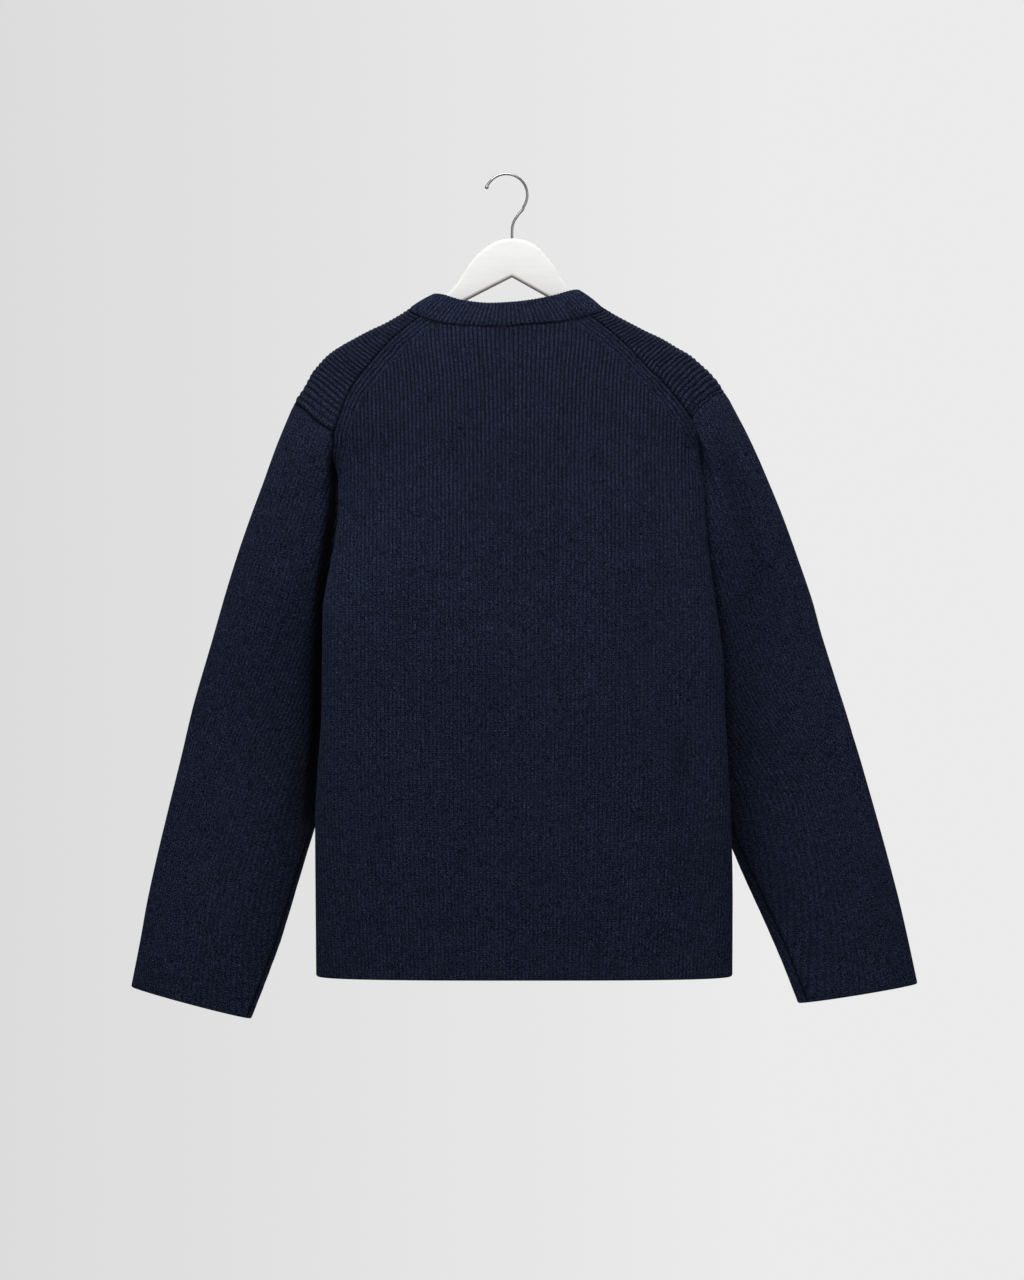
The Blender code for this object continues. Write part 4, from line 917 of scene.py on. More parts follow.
def over_ridge(wales, line, hand):
    """The wales that cross the shoulder's ridge, from the sleeve to the neck, and where they do."""
    crossed = wales.wale_of(line)
    order = np.argsort(crossed)
    first = math.ceil(crossed.min() * QUARTERS + RIDGE_MARGIN) / QUARTERS
    last = math.floor(crossed.max() * QUARTERS - RIDGE_MARGIN) / QUARTERS
    kept = np.concatenate(([crossed.max()], np.arange(last, first - 1e-6, -1 / QUARTERS), [crossed.min()]))
    heights = np.interp(kept, crossed[order], line[order, 1])
    return kept, np.array([at_turn(1.0, z, hand) for z in heights])


def front_panel(hand, found, wales, ridge):
    """A front up to the shoulder's ridge: its chart, its triangles and the hem's line."""
    most = float(wales.wale_of(np.array([at_turn(SIDE_SEAM[0][0], HEM_Z, hand)]))[0])
    hem = on_hem(wales.reach_of(np.arange(0, int(most * QUARTERS) + 1) / QUARTERS, HEM_Z))
    outline = np.vstack((hem, found["side"][1:], found["front_armhole"][1:-1], ridge,
                         found["neck_front"][1:-1], found["edge"][::-1][:-1]))
    edges = [found[name] for name in ("side", "front_armhole", "neck_front", "edge")] + [hem]
    chart, triangles = panel(outline, edges, wales.wale_of, wales.reach_of, FRONT_TOP, FRONT_COLUMNS)
    return chart, triangles, hem


def build_front(hand, found):
    """A front: upright wales that run on over the shoulder, down to its seam on the back."""
    wales = FrontWales(hand, found["edge"])
    kept, ridge = over_ridge(wales, found["ridge"], hand)
    chart, triangles, hem = front_panel(hand, found, wales, ridge)
    share = reach_along(form(*ridge.T))
    over = over_shoulder(found, ridge, share / share[-1])
    rows, columns = over.shape[:2]
    over = over.reshape(-1, 2)
    faces = np.vstack((triangles, grid_triangles(rows, columns) + len(chart)))
    values = {
        "wale": np.concatenate((wales.wale_of(chart), np.tile(kept, rows))),
        "course": np.concatenate((chart[:, 1], np.repeat(np.linspace(0.0, OVER_LENGTH, rows), columns))),
        "edge": np.concatenate((wales.from_edge(chart), np.ones(len(over)))),
    }
    points, triangles, values = weld(form(*np.vstack((chart, over)).T), faces, values)
    normal = outward(points)
    triangles = facing_out(points, triangles, normal)
    middle = form(*found["edge"].T)
    if hand == "left":
        near = limit(1 - (values["edge"] - BUTTON_BAND / 2) / OVERLAP_WIDTH) ** 2
        points = points + normal * (near * OVERLAP_LIFT)[:, None]
        middle = middle + outward(middle) * OVERLAP_LIFT
    points, dark = creased(points, "front")
    real = np.vstack([found[name] for name in
                      ("side", "front_armhole", "sleeve_top", "shoulder", "neck_over", "neck_front")])
    deeper = ramp(points[:, 2], *FRONT_DEEPER) * ramp(points[:, 1], *FRONT_SHALLOWER)
    depth = RIB_DEPTH["body"] + (RIB_DEPTH["shoulder"] - RIB_DEPTH["body"]) * deeper
    shell("front_%s_knit" % hand, points, triangles, values["wale"], values["course"],
          np.vstack((form(*real.T), middle)), form(*hem.T), WALL, depth, dark=dark)


# -------- the sleeves
SECTION_SHARES = np.linspace(0.0, 1.0, 401)  # round a sleeve, from its underarm line
FOLD_FROM = 0.94  # how nearly the sleeve lies along the body where it begins to need room, as a cosine
FOLD_RANGE = 0.50  # and how much less nearly where it needs all of it
FOLD_SPREAD = 9  # neighbours on each side over which that need is averaged
FRONT_FOLD = 0.5  # the least need on the armhole's front
PUSH_STEPS = 4
PUSH_MOST = 0.02  # the longest way that one step moves a point
UNDER_STEP = 0.004  # between the points of the seam under the arm
FLAT_RINGS = 120  # rings of the sleeve's form that its wales are laid out on


def sleeve_point(hand, share, along):
    """A point of the sleeve's own form: share 0 is the underarm line, 0.25 its back, 0.5 its outer edge."""
    share, along = np.broadcast_arrays(np.asarray(share, float), np.asarray(along, float))
    outer, inner, slant, outer_y, inner_y, depth = [read_off(curve, along) for curve in SLEEVE_CURVES[hand]]
    angle = share * 2 * math.pi
    for _ in range(SQUASH_STEPS):
        angle = share * 2 * math.pi - SQUASH * np.sin(2 * angle)
    inwards = (1 + np.cos(angle)) / 2
    lateral = outer + (inner - outer) * inwards
    reach = along + slant * inwards
    y = outer_y + (inner_y - outer_y) * inwards - depth * np.sin(angle)
    x0, z0, tilt = SLEEVE_FRAME[hand]
    outwards = math.sin(tilt) * reach - math.cos(tilt) * lateral
    down = math.cos(tilt) * reach + math.sin(tilt) * lateral
    return np.stack([x0 + SIGN[hand] * outwards, y, z0 - down], axis=-1)


def sleeve_axes(hand, x, z):
    """The distance along the sleeve from its shoulder point, and how far inwards of its axis."""
    x0, z0, tilt = SLEEVE_FRAME[hand]
    outwards = (x - x0) * SIGN[hand]
    down = z0 - z
    return (math.sin(tilt) * outwards + math.cos(tilt) * down,
            math.sin(tilt) * down - math.cos(tilt) * outwards)


def sleeve_share(hand, point, layer):
    """Where a point of the armhole falls in the sleeve's own frame: its share round and distance along."""
    along, lateral = sleeve_axes(hand, point[0], point[2])
    along = max(along, 0.0)
    outer, inner = [float(read_off(curve, along)) for curve in SLEEVE_CURVES[hand][:2]]
    angle = math.acos(2 * limit((lateral - outer) / (inner - outer)) - 1)
    share = (angle + SQUASH * math.sin(2 * angle)) / (2 * math.pi)
    return (1 - share if layer < 0 else share), along


def armhole_round(hand, found):
    """The armhole's points, their shares round and distances along the sleeve, and the shoulder's number."""
    back = found["back_armhole"][::-1][:-1]
    top = found["sleeve_top"][:-1]
    front = found["front_armhole"][::-1]
    loop = form(*np.vstack((back, top, front)).T)
    half = len(back) + len(top)
    layers = [1] * half + [-1] * len(front)
    share, start = np.array([sleeve_share(hand, point, layer) for point, layer in zip(loop, layers)]).T
    share[[0, half, -1]] = (0.0, 0.5, 1.0)
    start[-1] = start[0]
    share = np.maximum.accumulate(share) + np.linspace(0, 1e-4, len(share))
    share = (share - share[0]) / (share[-1] - share[0])
    return loop, share, start, half


class ArmWales:
    """Where the wales lie round the sleeve's form, at each distance along it."""

    def __init__(self, hand, end):
        self.heights = np.linspace(0.0, end, FLAT_RINGS)
        rings = sleeve_point(hand, SECTION_SHARES[None, :], self.heights[:, None])
        arcs = np.array([reach_along(line) for line in rings])
        middle = len(SECTION_SHARES) // 2
        self.arcs = arcs - arcs[:, middle:middle + 1]

    def arc_row(self, along):
        """Distances round the form from its outer edge, at one distance along it."""
        row = np.clip(along / self.heights[1], 0, len(self.heights) - ALMOST_ONE)
        i = int(row)
        return self.arcs[i] * (1 - row + i) + self.arcs[i + 1] * (row - i)

    def wale_at(self, share, along):
        """The wale at each share round."""
        reach = [np.interp(s, SECTION_SHARES, self.arc_row(a)) for s, a in zip(share, along)]
        return np.array(reach) / SLEEVE_PITCH

    def share_at(self, wale, along):
        """The share round at each wale."""
        return np.array([np.interp(w * SLEEVE_PITCH, self.arc_row(a), SECTION_SHARES)
                         for w, a in zip(wale, along)])

    def cuff(self, end):
        """The cuff's line: a point on every quarter of a rib, and one at each end."""
        first, last = self.arcs[-1, 0] / SLEEVE_PITCH, self.arcs[-1, -1] / SLEEVE_PITCH
        between = np.arange(math.ceil(first * QUARTERS + RIDGE_MARGIN),
                            math.floor(last * QUARTERS - RIDGE_MARGIN) + 1) / QUARTERS
        wales = np.concatenate(([first], between, [last]))
        ends = np.full(len(wales), end)
        share = self.share_at(wales, ends)
        share[[0, -1]] = (0.0, 1.0)
        return beside(share, ends)


def sleeve_mesh(head, wales, end):
    """The sleeve laid flat: shares round, distances along, wales and triangles."""
    cuff = wales.cuff(end)
    along = np.linspace(head[0, 1], end, int((end - head[0, 1]) / UNDER_STEP))
    low_side = beside(np.ones(len(along)), along)
    high_side = beside(np.zeros(len(along)), along)
    outline = np.vstack((head, low_side[1:-1], cuff[::-1], high_side[1:-1][::-1]))
    metre = np.array([SLEEVE_PITCH / QUARTERS, ROW_STEP / 2])

    def counted(line):
        return beside(wales.wale_at(*line.T) * QUARTERS, line[:, 1] / ROW_STEP * 2)

    fence = counted(outline)
    inner = [edge_insets(counted(line) * metre, fence * metre) / metre
             for line in (head, cuff, low_side, high_side)]
    rows = np.arange(0.0, end, ROW_STEP)[1:] / ROW_STEP * 2
    places, triangles = fill(fence, np.vstack(inner), rows, SLEEVE_COLUMNS)
    along = places[:, 1] * ROW_STEP / 2
    wale = places[:, 0] / QUARTERS
    share = np.concatenate((outline[:, 0], wales.share_at(wale[len(outline):], along[len(outline):])))
    return share, along, wale, triangles


def room_needed(points, normal, loop, half):
    """How much of its full room from the body a sleeve needs at each point of the armhole, 0 to 1."""
    _, close = nearest(points, loop)
    turned = np.clip(np.sum(outward(loop) * normal[close], axis=1), -1, 1)
    fold = limit((FOLD_FROM - turned) / FOLD_RANGE)
    fold[half + 1:] = np.maximum(fold[half + 1:], FRONT_FOLD)
    padded = np.concatenate((fold[-FOLD_SPREAD:], fold, fold[:FOLD_SPREAD]))
    window = 2 * FOLD_SPREAD + 1
    return np.convolve(padded, np.ones(window) / window, "valid")


def pushed_clear(points, need):
    """The points, moved out until each is as far from the body's form as it needs to be."""
    for _ in range(PUSH_STEPS):
        gradient = slope(points)
        steep = np.linalg.norm(gradient, axis=-1)
        push = np.clip(need - (level(points) - 1) / steep, 0.0, PUSH_MOST)
        points = points + gradient / steep[..., None] * push[..., None]
    return points


def build_sleeve(hand, found):
    """A sleeve: wales along the arm, sewn round the armhole and closed by a seam under the arm."""
    end = SLEEVE_ROWS[hand][-1][0]
    loop, round_share, start, half = armhole_round(hand, found)
    correction = loop - sleeve_point(hand, round_share, start)
    correction[-1] = correction[0]
    share, along, wale, triangles = sleeve_mesh(beside(round_share, start), ArmWales(hand, end), end)
    below = along - np.interp(share, round_share, start)
    fix = beside(*(np.interp(share, round_share, part) for part in correction.T))
    turn = np.interp(along, *zip(*SEAM_TURN[hand]))
    points = sleeve_point(hand, share + turn, along) + fix * ease(1 - below / SETTLE_LENGTH)[:, None]
    values = {"wale": wale, "course": along, "share": share, "below": below}
    points, triangles, values = weld(points, triangles, values)
    normal = vertex_normals(points, triangles)
    centre = sleeve_point(hand, 0.25, values["course"]) + sleeve_point(hand, 0.75, values["course"])
    if np.sum(normal * (points - centre / 2)) < 0:
        triangles = triangles[:, ::-1]
        normal = -normal
    fold = room_needed(points, normal, loop, half)
    leaving = limit(values["below"] / HEAD_RISE)
    least = WALL + SEAM_GAP
    room = least + (SLEEVE_CLEAR - WALL - SEAM_GAP) * limit(values["below"] / CLEAR_LENGTH)
    points = pushed_clear(points, np.interp(values["share"], round_share, fold) * room * leaving)
    folded, dark = creased(points, "sleeve_" + hand)
    points = points + (folded - points) * leaving[:, None]
    _, close = nearest(points, loop)
    head_line = points[close]
    cuff_line = points[np.abs(values["course"] - end) < 1e-6]
    under_line = points[(values["share"] < 1e-6) | (values["share"] > 1 - 1e-6)]
    shell("sleeve_%s_knit" % hand, points, triangles, values["wale"], values["course"],
          head_line, cuff_line, WALL, RIB_DEPTH["sleeve"], soft=(under_line,), dark=dark,
          pale=head_line[:half] if hand == "right" else None)


# -------- the neckband and the button bands
BAND_SHARES = (0.0, 0.02, 0.06, 0.13, 0.25, 0.40, 0.55, 0.70, 0.80, 0.88, 0.94, 0.98, 1.0)  # rows up the band
BAND_BULGE = 0.0008  # how far the neckband's middle stands out
BAND_WAVE = 0.0007  # how far the ribs lift the band's top edge
BAND_HEIGHT = 0.03  # up the neckband, for its stitches
RIB_MEAN = 0.7  # about the mean height of a rib
BUTTON_BAND_STEP = 0.006
BAND_TUCK = 0.0006  # between the two lines of points at a button band's edge


def neckband_ribs(neck, sides):
    """The neckband's wales, with their places along the neck, at its foot and top, and a front's length."""
    left, right = sides["left"], sides["right"]
    parts = (left["neck_front"][::-1], left["neck_over"][::-1], neck, right["neck_over"], right["neck_front"])
    base = form(*np.vstack(parts[:1] + tuple(part[1:] for part in parts[1:])).T)
    marks = np.cumsum([0] + [reach_along(form(*part.T))[-1] for part in parts])
    front = {hand: smooth_line(rows, SEAM_STEP) for hand, rows in BAND_FRONT.items()}
    back = smooth_line(BAND_BACK, SEAM_STEP)
    ribs = int(round(marks[-1] / NECK_PITCH))
    wale = np.arange(ribs * QUARTERS + 1) / QUARTERS
    reach = wale / ribs * marks[-1]
    top_marks = np.cumsum([0] + [reach_along(line)[-1] for line in (front["left"], back, front["right"])])
    top_line = np.vstack((front["left"][::-1], back[1:], front["right"][1:]))
    top = at_reach(top_line, np.interp(reach, marks[[0, 1, 4, 5]], top_marks))
    top[:, 2] += BAND_WAVE * (rib(wale + 0.5) - RIB_MEAN)
    return wale, reach, at_reach(base, reach), top, marks[1]


def build_neckband(neck, sides):
    """The ribbed band round the neck, doubled over at its top edge."""
    wale, reach, foot, top, front_length = neckband_ribs(neck, sides)
    shares = np.array(BAND_SHARES)[:, None, None]
    grid = (1 - shares) * foot[None] + shares * top[None]
    rows, columns = grid.shape[:2]
    normal = grid_normals(grid)
    if np.sum(normal[:, columns // 2, 1]) > 0:
        normal = -normal
    near = limit(1 - reach / front_length) ** 2
    grid = grid + normal * (near * OVERLAP_LIFT)[None, :, None]
    grid = grid + normal * (np.sin(math.pi * shares) * BAND_BULGE)
    points = grid.reshape(-1, 3)
    triangles = facing_out(points, grid_triangles(rows, columns), normal.reshape(-1, 3))
    shell("neckband_knit", points, triangles, np.tile(wale + 0.5, rows),
          np.repeat(np.array(BAND_SHARES) * BAND_HEIGHT, columns),
          np.vstack((grid[0], grid[:, 0], grid[:, -1])), grid[-1], BAND_WALL, RIB_DEPTH["band"])


def front_edge(x, z):
    """A point of the closed front's middle, on the body or on the neckband above it."""
    low = NECK_FRONT[-1][1]
    top = BAND_FRONT["left"][-1]
    if z <= low:
        return on_sheet(x, z, "front")
    foot = on_sheet(x, low, "front")
    return np.array([x, foot[1] + (top[1] - foot[1]) * (z - low) / (top[2] - low), z])


def button_heights():
    """The height of each button, from the top one down."""
    return [float(z) for z in np.linspace(TOP_BUTTON_Z, LOW_BUTTON_Z, BUTTON_COUNT)]


def band_heights():
    """The heights of the button bands' rows of points, with one at both ends of every slit."""
    top = BAND_FRONT["left"][-1][2]
    fixed = [HEM_Z, top]
    for away in ROUND_INSETS:
        fixed += [HEM_Z + away, top - away]
    fixed += [z + side * SLIT_LENGTH / 2 for z in button_heights() for side in (-1, 1)]
    fixed.sort()
    steps = []
    for low, high in zip(fixed, fixed[1:]):
        count = max(1, int(round((high - low) / BUTTON_BAND_STEP)))
        steps += list(np.linspace(low, high, count, endpoint=False))
    return np.array(steps + fixed[-1:])


def band_columns():
    """The places of a button band's columns of points, across it, with one at both sides of the slits."""
    half = BUTTON_BAND / 2 + BAND_CAUGHT
    lines = np.arange(1, BAND_RIBS * QUARTERS) / QUARTERS - BAND_RIBS / 2
    across = np.concatenate(([-half, -half + BAND_TUCK], lines * BAND_PITCH, [half - BAND_TUCK, half]))
    for edge in (-SLIT_WIDTH / 2, SLIT_WIDTH / 2):
        across[np.argmin(np.abs(across - edge))] = edge
    return across


def slit_cells(steps, across):
    """The cells of a button band's grid that its slits leave open, as row and column."""
    centre = [j for j in range(len(across) - 1) if abs(across[j] + across[j + 1]) < SLIT_WIDTH]
    return {(i, j) for i in range(len(steps) - 1) for j in centre for z in button_heights()
            if abs((steps[i] + steps[i + 1]) / 2 - z) < SLIT_LENGTH / 2}


def build_button_bands():
    """Two ribbed bands, the wearer's left over the right, with a row of slits in the upper one."""
    steps = band_heights()
    across = band_columns()
    spots = np.array([[front_edge(x, z) for x in across] for z in steps])
    rows, columns = spots.shape[:2]
    for hand, lift, missing in (("left", OVERLAP_LIFT, slit_cells(steps, across)), ("right", 0.0, ())):
        grid = spots + np.array([0.0, lift, 0.0])
        normal = grid_normals(grid)
        normal = np.where(normal[..., 1:2] < 0, -normal, normal).reshape(-1, 3)
        points = grid.reshape(-1, 3)
        triangles = facing_out(points, grid_triangles(rows, columns, missing), normal)
        keep, used = np.unique(triangles, return_inverse=True)
        shell("button_band_%s_knit" % hand, points[keep], used.reshape(-1, 3),
              np.tile(across / BAND_PITCH + 0.5, rows)[keep], np.repeat(steps, columns)[keep],
              np.vstack((grid[:, 0], grid[:, -1])), np.vstack((grid[0], grid[-1])), WALL, RIB_DEPTH["body"],
              normal[keep])


# -------- creases and folds
# Piece and side (-1 back, 1 front); in tenths of a millimetre x and z along the crease, its widths at both
# ends and its depth (less than 0 stands out); and how much shade is painted on the cloth in it.
CREASE_FADE = 0.4  # the smaller, the more suddenly a crease with strong painted shade begins and ends
CREASE_STEP = 0.002
CREASE_REACH = 3  # how many of its widths away a crease is no longer felt
CREASE_WIDTH = 0.85  # of the dent, in a crease's widths
SHADE_WIDTH = 1.1  # of its painted shade
CREASES = (
    ("sleeve_left", -1, ((-1775, -2560), (-1772, -2800), (-1775, -3000)), (48, 48), 0, 1.0),
    ("sleeve_left", -1, ((-1772, -2740), (-1775, -3000), (-1780, -3216), (-1795, -3400), (-1835, -3650),
                         (-1885, -3991), (-1945, -4460), (-1985, -5083), (-2010, -5664), (-2070, -6256),
                         (-2100, -6700)), (88, 85), 130, 1.0),
    ("sleeve_left", -1, ((-1990, -4400), (-2040, -5300), (-2130, -6100), (-2280, -6900)), (110, 160), 45,
     0.25),
    ("sleeve_right", -1, ((1985, -2600), (2020, -3200), (2090, -3900), (2170, -4500), (2235, -5200),
                          (2280, -6000)), (100, 140), -90, 0.0),
    ("sleeve_right", -1, ((2120, -2700), (2290, -3300), (2480, -4000), (2600, -4600)), (90, 120), 50, 0.15),
    ("sleeve_right", -1, ((2205, -6300), (2230, -6500), (2290, -6720)), (40, 50), 60, 0.6),
    ("back", -1, ((-352, -1680), (-332, -1830), (-305, -1970)), (18, 18), 20, 0.4),
    ("back", -1, ((1690, -5600), (1700, -6300), (1715, -7100)), (90, 110), 24, 0.1),
    ("front", 1, ((-1420, -3300), (-1180, -3900), (-990, -4550), (-870, -5300)), (80, 120), 34, 0.1),
    ("front", 1, ((1560, -3450), (1330, -3980), (1120, -4500)), (75, 110), 30, 0.1),
    ("front", 1, ((1240, -6100), (1150, -6900), (1120, -7900)), (120, 90), 30, 0.05),
    ("front", 1, ((-640, -6700), (-690, -7300), (-760, -8000)), (110, 90), 26, 0.05),
    ("sleeve_left", 1, ((-1960, -3300), (-2160, -3900), (-2320, -4700)), (80, 110), 45, 0.1),
    ("sleeve_left", 1, ((-2500, -5200), (-2640, -5900), (-2900, -6600)), (90, 120), 32, 0.05),
    ("sleeve_right", 1, ((2060, -3200), (2230, -3700), (2380, -4300)), (80, 100), 40, 0.1),
    ("sleeve_right", 1, ((2420, -4900), (2600, -5600), (2700, -6300)), (90, 130), 35, 0.05),
)


def creased(points, piece):
    """The points moved in or out by the creases that cross their piece, and how much shade is painted on each
    point there.
    """
    points = points.copy()
    shade = np.zeros(len(points))
    for owner, facing, path, widths, depth, dark in CREASES:
        if piece != owner:
            continue
        line = smooth_line(metres(path), CREASE_STEP)
        widths = metres(widths)
        side = np.where(points[:, 1] < sheet_middle(points, piece), -1, 1)
        near = points[:, [0, 2]]
        low = line.min(axis=0) - CREASE_REACH * widths.max()
        high = line.max(axis=0) + CREASE_REACH * widths.max()
        picked = np.flatnonzero(np.all((near > low) & (near < high), axis=1) & (side == facing))
        if not len(picked):
            continue
        gap, which = nearest(line, near[picked])
        share = (which + 0.5) / len(line)
        taper = np.sin(math.pi * share) ** (CREASE_FADE if dark > 0.5 else 1.0)
        width = widths[0] + (widths[1] - widths[0]) * share
        points[picked, 1] -= facing * metres(depth) * taper * np.exp(-((gap / (CREASE_WIDTH * width)) ** 2))
        # Painted shade: the crease darkens the cloth's colour, as the shade that falls in it.
        painted_crease_shade = dark * np.minimum(2 * taper, 1.0) * np.exp(-((gap / (SHADE_WIDTH * width)) ** 6))
        shade[picked] = np.maximum(shade[picked], painted_crease_shade)
    return points, shade


def sheet_middle(points, piece):
    """The depth that parts a piece's back layer from its front one."""
    if piece in ("back", "front"):
        return 1.0 if piece == "back" else -1.0
    hand = piece.split("_")[1]
    along, lateral = sleeve_axes(hand, points[:, 0], points[:, 2])
    along = np.clip(along, 0.0, SLEEVE_ROWS[hand][-1][0])
    outer, inner, _, outer_y, inner_y, _ = [read_off(curve, along) for curve in SLEEVE_CURVES[hand]]
    return outer_y + (inner_y - outer_y) * limit((lateral - outer) / (inner - outer))


# -------- buttons, hanger and hook
# a button's section, as shares of its radius and height, from the middle of its back to that of its face
BUTTON_PROFILE = (
    (0.0, 0.0), (0.55, 0.0), (0.80, 0.05), (0.93, 0.20), (1.0, 0.48), (0.995, 0.72), (0.96, 0.90),
    (0.90, 1.0), (0.82, 0.97), (0.76, 0.86), (0.70, 0.74), (0.60, 0.68), (0.30, 0.64), (0.0, 0.63),
)
BUTTON_TURNS = 48
HOLE_REACH = 0.0024 / math.sqrt(2) * 1.1  # from the middle to each hole, across and up
HOLE_RADIUS = 0.0009
HOLE_SIDES = 16
DRILL_LENGTH = 0.02
SHARP_BUTTON = math.radians(40)  # edges that turn more than this look sharp
SHARP_WOOD = math.radians(50)
THREAD_RADIUS = 0.00034
THREAD_FOOT = 0.30 * BUTTON_HEIGHT  # where a thread's ends stand in the holes, above the button's back
THREAD_ARCH = 0.0021 - 0.12 * BUTTON_HEIGHT  # how far its middle stands above them
THREAD_PLACES = ((-1, -0.35), (-1, 0.35), (1, -0.35), (1, 0.35))  # row of holes, and millimetres aside of it
THREAD_POINTS = 13
LEAN_STEP = 0.004  # a button leans as its band does from this far below it to this far above
# rings along the hook's tip ball, in its radii from its end
BALL_SHARES = (0.01, 0.05, 0.15, 0.30, 0.50, 0.75, 1.0, 1.25, 1.5, 1.68, 1.78)
HOOK_BEND = ((0.0119, -0.0310), (0.0062, -0.0390), (0.0018, -0.0462), (0.0002, -0.0530), (0.0, -0.0600))
STEM_FOOT = (0.0, 0.0, -0.0800)
STEM_STEP = 0.0015
HOOK_TURNS = np.radians(np.linspace(158.0, -34.0, 64))  # along the hook's round part, from its tip
CORNER_TURNS = np.radians(np.linspace(-90.0, 0.0, 7))  # round the softened edge of the hanger


def solid_mesh(name, shape):
    """A mesh from a closed bmesh shape, with its faces turned outwards."""
    bmesh.ops.recalc_face_normals(shape, faces=shape.faces)
    mesh = bpy.data.meshes.new(name)
    shape.to_mesh(mesh)
    shape.free()
    mesh.shade_smooth()
    return mesh


def bent_tube(name, path, radii, turns):
    """A round bar along a path, with closed ends."""
    path = np.array(path, float)
    tangent = unit(np.gradient(path, axis=0))
    side = np.cross(tangent, np.array([0.0, 1.0, 0.0]))
    weak = np.linalg.norm(side, axis=1) < 0.2  # where the path runs almost along +Y
    side[weak] = np.cross(tangent[weak], np.array([1.0, 0.0, 0.0]))
    side = unit(side)
    other = np.cross(tangent, side)
    sizes = np.broadcast_to(radii, len(path))
    angle = np.linspace(0.0, 2 * math.pi, turns, endpoint=False)[None, :, None]
    around = np.cos(angle) * side[:, None] + np.sin(angle) * other[:, None]
    rings = path[:, None] + sizes[:, None, None] * around
    points = np.vstack((rings.reshape(-1, 3), path[:1], path[-1:]))
    here = np.arange(turns)
    after = (here + 1) % turns
    faces = []
    for low in range(0, (len(path) - 1) * turns, turns):
        a, b, c, d = low + here, low + after, low + turns + after, low + turns + here
        faces.append(beside(a, b, c, a, c, d).reshape(-1, 3))
    first = np.full(turns, len(path) * turns)
    end = (len(path) - 1) * turns
    faces.append(beside(first, after, here, first + 1, end + here, end + after).reshape(-1, 3))
    made = mesh_object(name, points, np.vstack(faces))
    shape = bmesh.new()
    shape.from_mesh(made.data)
    made.data = solid_mesh(name, shape)
    return made


def turned_disc(name, middle, side, up, out):
    """A button's body: its profile turned about its middle."""
    shape = bmesh.new()
    loops = []
    for radius, height in BUTTON_PROFILE:
        spots = []
        for k in range(BUTTON_TURNS if radius else 1):
            angle = 2 * math.pi * k / BUTTON_TURNS
            spot = middle + out * height * BUTTON_HEIGHT
            spot = spot + (side * math.cos(angle) + up * math.sin(angle)) * radius * BUTTON_RADIUS
            spots.append(shape.verts.new(tuple(spot + GARMENT_SHIFT)))
        loops.append(spots)
    for low, high in zip(loops, loops[1:]):
        for k in range(BUTTON_TURNS):
            n = (k + 1) % BUTTON_TURNS
            if len(low) == 1:
                shape.faces.new((low[0], high[n], high[k]))
            elif len(high) == 1:
                shape.faces.new((low[k], low[n], high[0]))
            else:
                shape.faces.new((low[k], low[n], high[n], high[k]))
    return add_object(name, solid_mesh(name, shape))


def drill(button, middle, side, up, out):
    """Four sewing holes through a button."""
    shape = bmesh.new()
    turn = beside(side, up, out)
    for across, along in ((1, 1), (1, -1), (-1, 1), (-1, -1)):
        made = bmesh.ops.create_cone(shape, cap_ends=True, segments=HOLE_SIDES, depth=DRILL_LENGTH,
                                     radius1=HOLE_RADIUS, radius2=HOLE_RADIUS)
        for vertex in made["verts"]:
            local = turn @ np.array(vertex.co) + middle
            vertex.co = Vector(local + side * across * HOLE_REACH + up * along * HOLE_REACH + GARMENT_SHIFT)
    cutter = add_object("holes", solid_mesh("holes", shape))
    cut = button.modifiers.new("holes", "BOOLEAN")
    cut.operation = "DIFFERENCE"
    cut.solver = "EXACT"
    cut.object = cutter
    bpy.context.view_layer.update()
    result = bpy.data.meshes.new_from_object(button.evaluated_get(bpy.context.evaluated_depsgraph_get()))
    button.modifiers.clear()
    button.data = result
    bpy.data.objects.remove(cutter, do_unlink=True)
    result.shade_smooth()
    result.set_sharp_from_angle(angle=SHARP_BUTTON)


def build_button(number, z):
    """A four-hole button with a dished face, sewn on with two pairs of threads."""
    up = unit(front_edge(0.0, z + LEAN_STEP) - front_edge(0.0, z - LEAN_STEP))
    side = np.array([1.0, 0.0, 0.0])
    out = np.cross(up, side)
    out = out if out[1] > 0 else -out
    middle = front_edge(0.0, z) + np.array([0.0, OVERLAP_LIFT, 0.0]) + out * (WALL / 2 + SEAM_GAP)
    button = turned_disc("button_%d_disc" % number, middle, side, up, out)
    drill(button, middle, side, up, out)
    for k, (row, aside) in enumerate(THREAD_PLACES, 1):
        start = middle + up * (row * HOLE_REACH + aside * MILLIMETRE)
        path = []
        for t in np.linspace(0.0, 1.0, THREAD_POINTS):
            height = THREAD_FOOT + THREAD_ARCH * math.sin(math.pi * t) ** 0.5
            path.append(start + side * HOLE_REACH * (2 * t - 1) + out * height)
        thread = bent_tube("button_%d_thread_%d" % (number, k), path, THREAD_RADIUS, 8)
        thread.data.materials.append(MATERIAL["thread"])
        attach(thread, "root")


def hanger_outline():
    """The hanger's outline, x and z: its top, its right end, its two lower edges and its left end."""
    pieces = (
        np.vstack((HANGER_TOP["left"][::-1], HANGER_TOP["right"][1:])),
        (HANGER_TOP["right"][-1], HANGER_END["right"], HANGER_BOTTOM["right"][0]),
        np.vstack((HANGER_BOTTOM["right"], HANGER_APEX)),
        np.vstack((HANGER_APEX, HANGER_BOTTOM["left"][::-1])),
        (HANGER_BOTTOM["left"][0], HANGER_END["left"], HANGER_TOP["left"][-1]),
    )
    lines = [smooth_line(piece, 0.002)[1:] for piece in pieces]
    return np.vstack((pieces[0][:1], *lines[:-1], lines[-1][:-1]))


